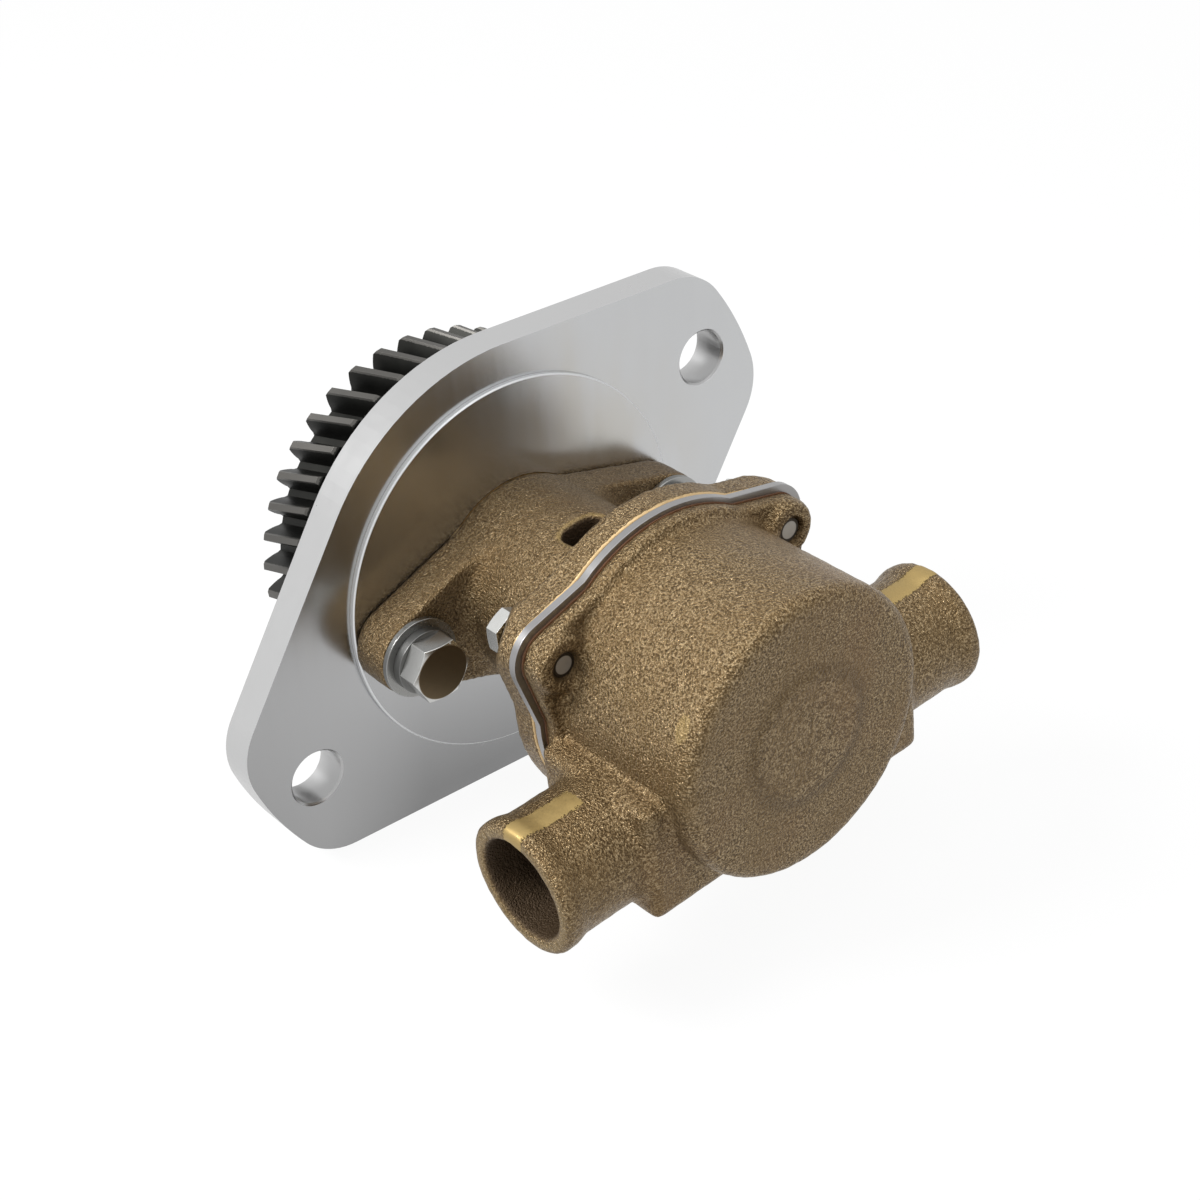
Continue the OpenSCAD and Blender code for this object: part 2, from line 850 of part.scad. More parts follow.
// Rotating carbon ring with a narrow lapped face
module seal_ring() {
    color("darkslategray")
        on_shaft()
            rotate_extrude()
                polygon([
                    [impeller_seat_r + 1.2, seal_ring_z],
                    [impeller_seat_r + 3, seal_ring_z],
                    [impeller_seat_r + 3, seal_ring_z + 1],
                    [seat_r, seal_ring_z + 1],
                    [seat_r, seal_ring_z + seal_ring_w],
                    [impeller_seat_r + fit_gap, seal_ring_z + seal_ring_w],
                    [impeller_seat_r + fit_gap, seal_ring_z + 1.6],
                    [impeller_seat_r + 1.2, seal_ring_z + 1.6]
                ]);
}

// Rubber sleeve that grips the shaft and pushes on the carbon ring
module seal_bellows() {
    inner_r = impeller_seat_r + fit_gap;
    mid_z = (bellows_z + seal_washer_z) / 2;
    color("black")
        on_shaft()
            rotate_extrude()
                polygon([
                    [inner_r, bellows_z],
                    [inner_r + 2.6, bellows_z],
                    [inner_r + 2.6, bellows_z + 0.6],
                    [inner_r + 1.4, mid_z - 0.4],
                    [inner_r + 1.4, mid_z + 0.4],
                    [inner_r + 2, seal_washer_z - 0.6],
                    [inner_r + 2, seal_washer_z],
                    [inner_r, seal_washer_z]
                ]);
}

// Round wire wound about the shaft, from z = 0 up to z = lift
module coil(coil_r, wire_r, lift, turns) {
    steps = 24 * turns;
    sides = 8;
    points = [
        for (i = [0 : steps])
            for (j = [0 : sides - 1])
                let (
                    turn = 360 * turns * i / steps,
                    section = polar(wire_r, 360 * j / sides),
                    ring_r = coil_r + section[0]
                )
                [ring_r * cos(turn), ring_r * sin(turn), lift * i / steps + section[1]]
    ];
    skin = [
        for (i = [0 : steps - 1])
            for (j = [0 : sides - 1])
                let (
                    next = (j + 1) % sides,
                    a = i * sides,
                    b = (i + 1) * sides
                )
                [a + j, a + next, b + next, b + j]
    ];
    first = [for (j = [0 : sides - 1]) sides - 1 - j];
    last = [for (j = [0 : sides - 1]) steps * sides + j];
    polyhedron(points, concat([first, last], skin));
}

// Seal spring round the sleeve, between the carbon ring and the washer
module seal_spring() {
    color("silver")
        on_shaft()
            translate([0, 0, bellows_z + seal_wire_rest])
                coil(seat_r - seal_wire_rest, seal_wire_r, seal_spring_lift, seal_spring_turns);
}

module seal_washer() {
    color("goldenrod")
        on_shaft()
            ring(seat_r + 0.4, impeller_seat_r + fit_gap, seal_washer_z, hub_z);
}

module drive_shaft() {
    key_depth = key_w / 2;
    color("gray")
        on_shaft()
            difference() {
                rotate_extrude()
                    polygon([
                        [0, shaft_back_z],
                        [shaft_thread_r - 1, shaft_back_z],
                        [shaft_thread_r, shaft_back_z + 1],
                        [shaft_thread_r, gear_back_z],
                        [shaft_r, gear_back_z + 0.8],
                        [shaft_r, shaft_step_z],
                        [impeller_seat_r, shaft_step_z + 0.8],
                        [impeller_seat_r, shaft_front_z - 1],
                        [impeller_seat_r - 1, shaft_front_z],
                        [0, shaft_front_z]
                    ]);
                key_shape(key_w, key_w, gear_key_z, gear_key_len, shaft_r - key_depth);
                key_shape(key_w, key_w, impeller_key_z, impeller_key_len, impeller_seat_r - key_depth);
            }
}

module gear_key() {
    w = key_w - 2 * fit_gap;
    color("silver")
        on_shaft()
            key_shape(w, w, gear_key_z + fit_gap, gear_key_len - 2 * fit_gap, shaft_r - key_w / 2 + fit_gap);
}

module impeller_key() {
    w = key_w - 2 * fit_gap;
    z0 = impeller_key_z + fit_gap;
    color("silver")
        on_shaft()
            key_shape(w, w, z0, impeller_key_len - 2 * fit_gap, impeller_seat_r - key_w / 2 + fit_gap);
}

// Angle that an involute has turned through at radius r
function involute_turn(r) =
    let (roll = sqrt(max(0, (r / base_r) * (r / base_r) - 1)))
    roll * 180 / PI - atan(roll);

// Half the angle that a tooth fills at radius r
function half_tooth(r) =
    90 / teeth - backlash_turn + involute_turn(pitch_r) - involute_turn(max(r, base_r));

// One involute flank, from the top of the root's fillet to the tip
function flank(side, centre) = [
    for (i = [0 : flank_steps])
        let (
            k = side < 0 ? i : flank_steps - i,
            start_r = root_r + root_fillet,
            r = start_r + (tip_r - start_r) * k / flank_steps
        )
        polar(r, centre + side * half_tooth(r))
];

// Outline of one tooth
function tooth(centre) =
    let (root_turn = half_tooth(root_r) + root_fillet_turn)
    concat(
        [polar(root_r, centre - root_turn)],
        flank(-1, centre),
        flank(1, centre),
        [polar(root_r, centre + root_turn)]
    );

module drive_gear() {
    half_w = gear_w / 2;
    mid_z = (gear_front_z + gear_back_z) / 2;
    recess_out_r = root_r - 4.5;
    recess_in_r = gear_hub_r + 4;
    key_slot_len = rear_bearing_z - gear_back_z;
    color("dimgray")
        on_shaft()
            difference() {
                union() {
                    translate([0, 0, mid_z])
                        intersection() {
                            translate([0, 0, -half_w])
                                linear_extrude(gear_w)
                                    polygon([for (i = [0 : teeth - 1]) each tooth(gear_phase + 360 * i / teeth)]);
                            rotate_extrude()
                                polygon([
                                    [0, -half_w],
                                    [tip_r - tooth_chamfer, -half_w],
                                    [tip_r + eps, -half_w + tooth_chamfer],
                                    [tip_r + eps, half_w - tooth_chamfer],
                                    [tip_r - tooth_chamfer, half_w],
                                    [0, half_w]
                                ]);
                        }
                    rod(gear_hub_r, gear_front_z - sink, rear_bearing_z);
                }
                ring(recess_out_r, recess_in_r, gear_front_z - gear_recess, gear_front_z + eps);
                ring(recess_out_r, recess_in_r, gear_back_z - eps, gear_back_z + gear_recess);
                rod(shaft_r + fit_gap, gear_back_z - eps, rear_bearing_z + eps);
                translate([-key_w / 2, 0, gear_back_z - eps])
                    cube([key_w, shaft_r + key_w / 2 + fit_gap, key_slot_len + 2 * eps]);
            }
}

module gear_washer() {
    color("silver")
        on_shaft()
            ring(gear_washer_r, shaft_thread_r + washer_gap, gear_back_z - gear_washer_t, gear_back_z);
}

module gear_nut() {
    color("gray")
        on_shaft()
            difference() {
                translate([0, 0, gear_back_z - gear_washer_t])
                    mirror([0, 0, 1])
                        hex_head(gear_nut_af, gear_nut_h);
                rod(shaft_thread_r + fit_gap, gear_nut_back_z - eps, gear_back_z);
            }
}

module wear_plate() {
    ear_r = body_ear_r + wear_plate_ear_margin;
    rim_r = body_rim_r + wear_plate_margin;
    color("slategray")
        on_pump()
            difference() {
                eared_plate(
                    rim_r, rim_r - ear_waist_step, ear_r,
                    screw_circle_r, ear_angles, housing_front_z, gasket_z
                );
                rod(wear_plate_hole_r, housing_front_z - eps, gasket_z + eps);
                for (a = ear_angles)
                    translate(polar(screw_circle_r, a))
                        rod(body_screw_d / 2 + screw_hole_gap, housing_front_z - eps, gasket_z + eps);
            }
}

module body_gasket() {
    color("saddlebrown")
        on_pump()
            difference() {
                body_flange(gasket_z, body_z);
                rod(chamber_r + washer_gap, gasket_z - eps, body_z + eps);
                for (a = ear_angles)
                    translate(polar(screw_circle_r, a))
                        rod(body_screw_d / 2 + screw_hole_gap, gasket_z - eps, body_z + eps);
            }
}

// The outline that the gasket and the body's flange share
module body_flange(z0, z1) {
    eared_plate(body_rim_r, body_rim_r - ear_waist_step, body_ear_r, screw_circle_r, ear_angles, z0, z1);
}

// Turned outside of the body: a short fillet off the flange and a round closed end
module body_profile() {
    root_r = 1.5;
    flange_front = body_z + body_flange_t;
    polygon(concat(
        [[0, body_z + sink], [body_r + root_r, body_z + sink]],
        arc([body_r + root_r, flange_front + root_r], root_r, 270, 180, 4),
        arc([body_r - body_end_fillet_r, body_end_z - body_end_fillet_r], body_end_fillet_r, 0, 90, 6),
        [
            [end_pad_r, body_end_z],
            [end_pad_r - end_pad_h, body_end_z + end_pad_h],
            [0, body_end_z + end_pad_h]
        ]
    ));
}

// Rectangle with round corners
module round_rect(half_x, half_y, r) {
    x = half_x - r;
    y = half_y - r;
    polygon(concat(
        arc([x, y], r, 0, 90, 5),
        arc([-x, y], r, 90, 180, 5),
        arc([-x, -y], r, 180, 270, 5),
        arc([x, -y], r, 270, 360, 5)
    ));
}

// Block that joins both ports to the body, with round edges all over
module port_block() {
    r = port_block_edge_r;
    half_h = port_block_half_h;
    z_back = body_z + sink;
    half_d = (port_block_front - sink) / 2;
    translate([0, port_y, z_back + half_d])
        intersection() {
            translate([0, 0, -half_d])
                linear_extrude(2 * half_d)
                    round_rect(port_block_half_w, half_h, r);
            rotate([90, 0, 0])
                translate([0, 0, -half_h])
                    linear_extrude(2 * half_h)
                        round_rect(port_block_half_w, half_d, r);
            rotate([0, 90, 0])
                translate([0, 0, -port_block_half_w])
                    linear_extrude(2 * port_block_half_w)
                        round_rect(half_d, half_h, r);
        }
}

// Profile of one port tube: tapered root in the block, plain tube, hose bead and mouth
module port_profile() {
    lip = 0.6;
    root_z = port_block_half_w - port_block_edge_r;
    polygon([
        [0, root_z],
        [port_r + port_root_step, root_z],
        [port_r, port_block_half_w + port_root_taper],
        [port_r, port_reach - bead_len],
        [port_r + bead_h * 0.3, port_reach - bead_len * 0.85],
        [port_r + bead_h, port_reach - bead_len * 0.5],
        [port_r + bead_h, port_reach - lip - 0.4],
        [port_r + bead_h - lip, port_reach],
        [0, port_reach]
    ]);
}

// Puts the shape along +Z onto the port axis of one side
module on_port(side) {
    translate([0, port_y, port_z])
        rotate([0, side * 90, 0])
            children();
}

module pump_body() {
    color("darkgoldenrod")
        on_pump()
            difference() {
                union() {
                    rotate_extrude()
                        body_profile();
                    body_flange(body_z, body_z + body_flange_t);
                    for (a = ear_angles)
                        translate(polar(screw_circle_r, a))
                            chamfered_rod(body_ear_r - boss_step, body_z + sink, body_z + body_boss_h, small_chamfer);
                    port_block();
                    for (side = [-1, 1])
                        on_port(side)
                            rotate_extrude()
                                port_profile();
                }
                rod(chamber_r, body_z - eps, chamber_end_z);
                for (side = [-1, 1])
                    on_port(side)
                        rod(port_bore_r, chamber_r / 2, port_reach + eps);
                for (a = ear_angles)
                    translate(polar(screw_circle_r, a))
                        countersunk_hole(
                            body_screw_d / 2 + fit_gap, body_z, body_z + body_boss_h, screw_mouth_chamfer
                        );
                rotate([90, 0, 0])
                    translate([0, port_z, 0])
                        rod(cam_screw_r + fit_gap, chamber_r / 2, body_r + sink);
            }
}

module body_screws() {
    color("lightgray")
        on_pump()
            for (a = ear_angles)
                translate(polar(screw_circle_r, a)) {
                    translate([0, 0, body_screw_start_z])
                        mirror([0, 0, 1])
                            rotate(a)
                                hex_head(body_screw_af, body_screw_head_h);
                    rod(body_screw_d / 2, body_screw_start_z - eps, body_screw_end_z);
                }
}

// Cam: a crescent on the chamber wall between the ports, under the impeller
module cam() {
    wall_r = chamber_r - fit_gap;
    crest_r = chamber_r - cam_rise;
    half_chord = wall_r * sin(cam_arc / 2);
    z0 = impeller_z;
    steps = 10;
    color("goldenrod")
        on_pump()
            difference() {
                translate([0, 0, z0])
                    linear_extrude(impeller_end_z - z0)
                        polygon(concat(
                            arc([0, 0], wall_r, 270 - cam_arc / 2, 270 + cam_arc / 2, 4 * steps),
                            [for (i = [1 : steps - 1])
                                let (
                                    t = 1 - 2 * i / steps,
                                    a = 270 + t * cam_arc / 2,
                                    rise = (wall_r - crest_r) * (1 - t * t * t * t)
                                )
                                polar(wall_r - rise, a)]
                        ));
                rotate([90, 0, 0])
                    translate([0, port_z, 0])
                        rod(cam_screw_r + fit_gap, crest_r - sink, wall_r + sink);
            }
}

// Screw from below that holds the cam
module cam_screw() {
    head_z = body_r;
    color("lightgray")
        on_pump()
            rotate([90, 0, 0])
                translate([0, port_z, 0])
                    difference() {
                        union() {
                            rod(cam_screw_r, chamber_r - cam_rise + face_gap, head_z + eps);
                            chamfered_rod(cam_screw_head_r, head_z, head_z + cam_screw_head_h, small_chamfer);
                        }
                        translate([-cam_screw_head_r - sink, -cam_screw_slot / 2, head_z + cam_screw_head_h - sink])
                            cube([2 * (cam_screw_head_r + sink), cam_screw_slot, 2 * sink]);
                    }
}

module end_wear_disc() {
    color("slategray")
        on_pump()
            rod(chamber_r - fit_gap, chamber_end_z - end_disc_t, chamber_end_z);
}

module impeller_hub() {
    color("goldenrod")
        on_shaft()
            difference() {
                rod(hub_r, hub_z, impeller_end_z);
                rod(impeller_seat_r + fit_gap, hub_z - eps, impeller_end_z + eps);
                translate([-key_w / 2, 0, hub_z - eps])
                    cube([key_w, impeller_seat_r + key_w / 2 + fit_gap, impeller_end_z - hub_z + 2 * eps]);
            }
}

// Outline of one vane: thicker at its root, with a round bead at its tip
module vane_outline() {
    tip = impeller_r - vane_tip_r;
    foot_half = vane_t * 0.85;
    polygon([
        [vane_root_r - 2, -foot_half - 1],
        [vane_root_r + 2.5, -vane_t / 2],
        [tip, -vane_t / 2],
        [tip, vane_t / 2],
        [vane_root_r + 2.5, vane_t / 2],
        [vane_root_r - 2, foot_half + 1]
    ]);
    translate([tip, 0])
        circle(r = vane_tip_r);
}

module impeller() {
    color("black")
        on_shaft()
            translate([0, 0, impeller_z])
                linear_extrude(impeller_end_z - impeller_z)
                    difference() {
                        union() {
                            circle(r = vane_root_r);
                            for (i = [0 : vanes - 1])
                                rotate(360 * i / vanes)
                                    vane_outline();
                        }
                        circle(r = hub_r + fit_gap);
                    }
}

adapter_plate();
bearing_housing();
housing_o_ring();
foot_bolts();
foot_washers();
foot_spring_washers();
rear_bearing_outer_race();
rear_bearing_inner_race();
rear_bearing_balls();
rear_bearing_cage();
front_bearing_outer_race();
front_bearing_inner_race();
front_bearing_balls();
front_bearing_cage();
bearing_spacer();
bearing_circlip();
oil_seal();
slinger_ring();
seal_seat_cup();
seal_seat();
seal_ring();
seal_bellows();
seal_spring();
seal_washer();
drive_shaft();
gear_key();
drive_gear();
gear_washer();
gear_nut();
wear_plate();
body_gasket();
pump_body();
body_screws();
cam();
cam_screw();
end_wear_disc();
impeller_hub();
impeller_key();
impeller();
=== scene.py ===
"""The looks of a gear-driven raw water pump, in metres and in the frame of its solids.

The shaft lies along Y, with the drive gear at +Y and the pump's closed end at -Y.
"""

import logging
import math
from dataclasses import dataclass, field
from enum import Enum
from typing import Iterable, Optional, Sequence, Union

import bmesh
import bpy
from mathutils import Matrix, Vector, noise


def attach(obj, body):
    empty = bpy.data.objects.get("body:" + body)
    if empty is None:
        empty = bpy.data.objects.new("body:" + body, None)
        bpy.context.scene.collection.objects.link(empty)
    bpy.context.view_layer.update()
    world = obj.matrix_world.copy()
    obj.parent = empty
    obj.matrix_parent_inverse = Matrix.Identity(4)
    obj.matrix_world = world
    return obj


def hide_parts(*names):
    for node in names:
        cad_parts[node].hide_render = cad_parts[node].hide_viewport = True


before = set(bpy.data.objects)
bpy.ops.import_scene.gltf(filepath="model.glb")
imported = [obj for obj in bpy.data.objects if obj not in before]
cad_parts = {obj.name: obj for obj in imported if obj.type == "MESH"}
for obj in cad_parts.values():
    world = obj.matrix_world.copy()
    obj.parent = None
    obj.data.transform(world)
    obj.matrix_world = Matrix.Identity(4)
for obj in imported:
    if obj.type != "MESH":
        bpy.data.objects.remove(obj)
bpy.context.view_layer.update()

MM = 0.001
LOG = logging.getLogger("raw_water_pump")

# Turn of the castings about the shaft, away from the plate's level
PUMP_TURN = math.radians(5.9)

# Stations along the shaft, from the engine's face toward the pump's closed end
PLATE_FACE = 9.5 * MM
FOOT_BACK = 11.0 * MM
FOOT_BOLT_TOP = 32.38 * MM
WEEP_STATION = 41.7 * MM
HOUSING_FRONT = 66.5 * MM
BODY_BACK = 68.9 * MM
PORT_STATION = 89.5 * MM
BODY_END = 113.5 * MM

# Radii about the shaft
END_PAD = 16.5 * MM
NECK_RADIUS = 24.5 * MM
RAISED_RADIUS = 50.2 * MM

# The hose ports: how far below the shaft, how far out, and the bore's radius
PORT_DROP = 16.2 * MM
PORT_REACH = 65.5 * MM
PORT_BORE = 12.3 * MM

# The body screws: their circle, the mouth of each hole, and the ears' angles in degrees
SCREW_CIRCLE = 40.0 * MM
SCREW_MOUTH = 3.9 * MM
EAR_ANGLES = (30.0, 150.0, 270.0)

# Corners of a copied solid that lie this close are one corner
JOINED_WITHIN = 0.002 * MM

# Where the Mix node keeps its factor, its two colours and their mixture
MIX_FACTOR, MIX_FIRST, MIX_SECOND = 0, 6, 7
MIX_RESULT = 2

# Depth of the relief on cut metal and rubber
FINE_RELIEF = 0.1 * MM

# Widths over which a mask fades at its edge
HAIRLINE = 0.1 * MM
CRISP = 0.2 * MM
FRAYED = 0.3 * MM
SOFTENED = 0.5 * MM
FADED = 1.0 * MM


class Socket:
    """A shader socket that does sums when Python's operators are used on it."""

    def __init__(self, recipe: "Recipe", socket: bpy.types.NodeSocket) -> None:
        """Keeps the socket and the recipe that owns it.

        Args:
            recipe: The material's recipe, which adds the Math nodes.
            socket: The output socket of a node.
        """
        self.recipe = recipe
        self.socket = socket

    def _math(self, operation: str, *operands: "Operand") -> "Socket":
        """Adds one Math node.

        Args:
            operation: The Math node's operation.
            operands: The values or sockets that it takes.

        Returns:
            The node's result.
        """
        inputs = {index: operand for index, operand in enumerate(operands)}
        return self.recipe.node("ShaderNodeMath", {"operation": operation}, inputs)

    def __add__(self, other: "Operand") -> "Socket":
        """Returns the sum."""
        return self._math("ADD", self, other)

    def __sub__(self, other: "Operand") -> "Socket":
        """Returns the difference."""
        return self._math("SUBTRACT", self, other)

    def __mul__(self, other: "Operand") -> "Socket":
        """Returns the product."""
        return self._math("MULTIPLY", self, other)

    def __truediv__(self, other: "Operand") -> "Socket":
        """Returns the quotient."""
        return self._math("DIVIDE", self, other)

    def __rsub__(self, other: "Operand") -> "Socket":
        """Returns the other value less this one."""
        return self._math("SUBTRACT", other, self)

    def __neg__(self) -> "Socket":
        """Returns the value with its sign turned."""
        return self._math("MULTIPLY", self, -1.0)

    __radd__ = __add__
    __rmul__ = __mul__

    def absolute(self) -> "Socket":
        """Returns the value without its sign."""
        return self._math("ABSOLUTE", self)

    def power(self, exponent: float) -> "Socket":
        """Returns the value raised to a power."""
        return self._math("POWER", self, exponent)

    def hypot(self, other: "Socket") -> "Socket":
        """Returns the length of the vector that has both values as its sides."""
        return (self * self + other * other).power(0.5)

    def least(self, other: "Operand") -> "Socket":
        """Returns the smaller of two values."""
        return self._math("MINIMUM", self, other)

    def most(self, other: "Operand") -> "Socket":
        """Returns the larger of two values."""
        return self._math("MAXIMUM", self, other)

    def above(self, edge: "Operand", softness: float) -> "Socket":
        """Turns the value into a mask.

        Args:
            edge: Where the mask starts.
            softness: How far past the edge it reaches its full strength.

        Returns:
            0 below the edge, 1 beyond it and the softness.
        """
        return ((self - edge) / softness).clamped()

    def below(self, edge: "Operand", softness: float) -> "Socket":
        """Returns the mask that is 1 below the edge and 0 beyond it and the softness."""
        return 1.0 - self.above(edge, softness)

    def clamped(self) -> "Socket":
        """Returns the value held between 0 and 1."""
        return self._math("MINIMUM", self._math("MAXIMUM", self, 0.0), 1.0)


Colour = tuple[float, float, float]
Place = tuple[float, float, float]
Operand = Union[Socket, float, int]
WHITE: Colour = (1.0, 1.0, 1.0)


class Recipe:
    """Builds one material from nodes."""

    def __init__(self, name: str) -> None:
        """Starts an empty material.

        Args:
            name: The material's name.
        """
        self.material = bpy.data.materials.new(name)
        self.material.use_nodes = True
        self.tree = self.material.node_tree
        self.tree.nodes.clear()
        output = self.tree.nodes.new("ShaderNodeOutputMaterial")
        self.shader = self.tree.nodes.new("ShaderNodeBsdfPrincipled")
        self.tree.links.new(self.shader.outputs["BSDF"], output.inputs["Surface"])
        place = self.tree.nodes.new("ShaderNodeTexCoord")
        self.place = Socket(self, place.outputs["Object"])

    def node(
        self,
        kind: str,
        settings: Optional[dict[str, object]] = None,
        inputs: Optional[dict[Union[str, int], object]] = None,
        output: Union[str, int] = 0,
    ) -> Socket:
        """Adds any node.

        Args:
            kind: The node's type.
            settings: Its properties; a ramp's stops are given as "stops".
            inputs: Values or sockets for its inputs, by name or index.
            output: The output that is returned.

        Returns:
            The chosen output.
        """
        made = self.tree.nodes.new(kind)
        for name, value in (settings or {}).items():
            if name == "stops":
                self._set_stops(made.color_ramp, value)
            else:
                setattr(made, name, value)
        for name, value in (inputs or {}).items():
            self._feed(made.inputs[name], value)
        return Socket(self, made.outputs[output])

    def _feed(self, target: bpy.types.NodeSocket, value: object) -> None:
        """Links a socket or sets a constant.

        Args:
            target: The input that is fed.
            value: A Socket, a number or a tuple.
        """
        if isinstance(value, Socket):
            self.tree.links.new(value.socket, target)
        elif isinstance(value, tuple) and target.type == "RGBA" and len(value) == 3:
            target.default_value = (*value, 1.0)
        else:
            target.default_value = value

    @staticmethod
    def _set_stops(ramp: bpy.types.ColorRamp, stops: Sequence[tuple[float, Colour]]) -> None:
        """Sets a ramp's stops.

        Args:
            ramp: The ramp.
            stops: Places and colours, in order.
        """
        while len(ramp.elements) < len(stops):
            ramp.elements.new(1.0)
        for element, (place, colour) in zip(ramp.elements, stops):
            element.position = place
            element.color = (*colour, 1.0)

    def axes(self, turn: float = 0.0) -> tuple[Socket, Socket, Socket]:
        """Gives the place on the object as three numbers.

        Args:
            turn: Turn about the shaft of the frame in which they count, in radians.

        Returns:
            Across, along and up, in metres.
        """
        x, y, z = (
            self.node("ShaderNodeSeparateXYZ", None, {0: self.place}, index)
            for index in range(3)
        )
        if turn == 0.0:
            return x, y, z
        c, s = math.cos(turn), math.sin(turn)
        return x * c + z * s, y, z * c - x * s

    def grain(self, scale: float, detail: float = 2.0, stretch: Optional[Place] = None) -> Socket:
        """Adds a noise pattern.

        Args:
            scale: Cells per metre.
            detail: Octaves.
            stretch: Scale along each axis, for a pattern that runs one way.

        Returns:
            The noise, from 0 to 1.
        """
        place = self.place
        if stretch is not None:
            place = self.node("ShaderNodeMapping", None, {"Vector": self.place, "Scale": stretch})
        return self.node("ShaderNodeTexNoise", None, {"Vector": place, "Scale": scale, "Detail": detail})

    def cells(self, scale: float) -> Socket:
        """Adds small domes packed side by side.

        Args:
            scale: Domes per metre.

        Returns:
            The distance from the nearest dome's middle, about 0 to 1.
        """
        return self.node("ShaderNodeTexVoronoi", None, {"Vector": self.place, "Scale": scale})

    def blend(self, mask: Operand, first: object, second: object) -> Socket:
        """Mixes two colours.

        Args:
            mask: 0 for the first, 1 for the second.
            first: A colour or a socket.
            second: A colour or a socket.

        Returns:
            The mixed colour.
        """
        return self.node(
            "ShaderNodeMix",
            {"data_type": "RGBA"},
            {MIX_FACTOR: mask, MIX_FIRST: first, MIX_SECOND: second},
            MIX_RESULT,
        )

    def ramp(self, value: Socket, stops: Sequence[tuple[float, Colour]]) -> Socket:
        """Turns a value into a colour by the ramp's stops."""
        return self.node("ShaderNodeValToRGB", {"stops": stops}, {0: value})

    def bump(self, height: Socket, strength: float, distance: float) -> Socket:
        """Adds relief.

        Args:
            height: The relief's height.
            strength: Its strength.
            distance: Its depth in metres.

        Returns:
            The normal.
        """
        return self.node(
            "ShaderNodeBump", None, {"Height": height, "Strength": strength, "Distance": distance}
        )

    def dress(self, **values: object) -> bpy.types.Material:
        """Feeds the surface shader.

        Args:
            values: Its inputs by name, with _ for each space.

        Returns:
            The finished material.
        """
        for name, value in values.items():
            self._feed(self.shader.inputs[name.replace("_", " ").title()], value)
        return self.material


def screw_places() -> list[tuple[float, float]]:
    """Returns where the body screws lie across and up, in the pump's own turn."""
    turns = [math.radians(angle) for angle in EAR_ANGLES]
    return [(SCREW_CIRCLE * math.cos(turn), SCREW_CIRCLE * math.sin(turn)) for turn in turns]


def screw_distance(r: Recipe) -> Socket:
    """Measures how far a place lies from the nearest body screw's axis.

    Args:
        r: The material's recipe.

    Returns:
        The distance in metres.
    """
    x, _, z = r.axes(PUMP_TURN)
    nearest, *others = [(x - across).hypot(z - up) for across, up in screw_places()]
    for other in others:
        nearest = nearest.least(other)
    return nearest


class Mark(Enum):
    """Which casting a skin belongs to, and so where its marks lie."""

    HOUSING = "housing"
    BODY = "body"


@dataclass(frozen=True)
class SkinMasks:
    """Masks that part a casting's skin, and where shade is painted on it."""

    ground: Socket
    machined: Socket
    shaded_hollow: Socket
    painted_shade: Socket


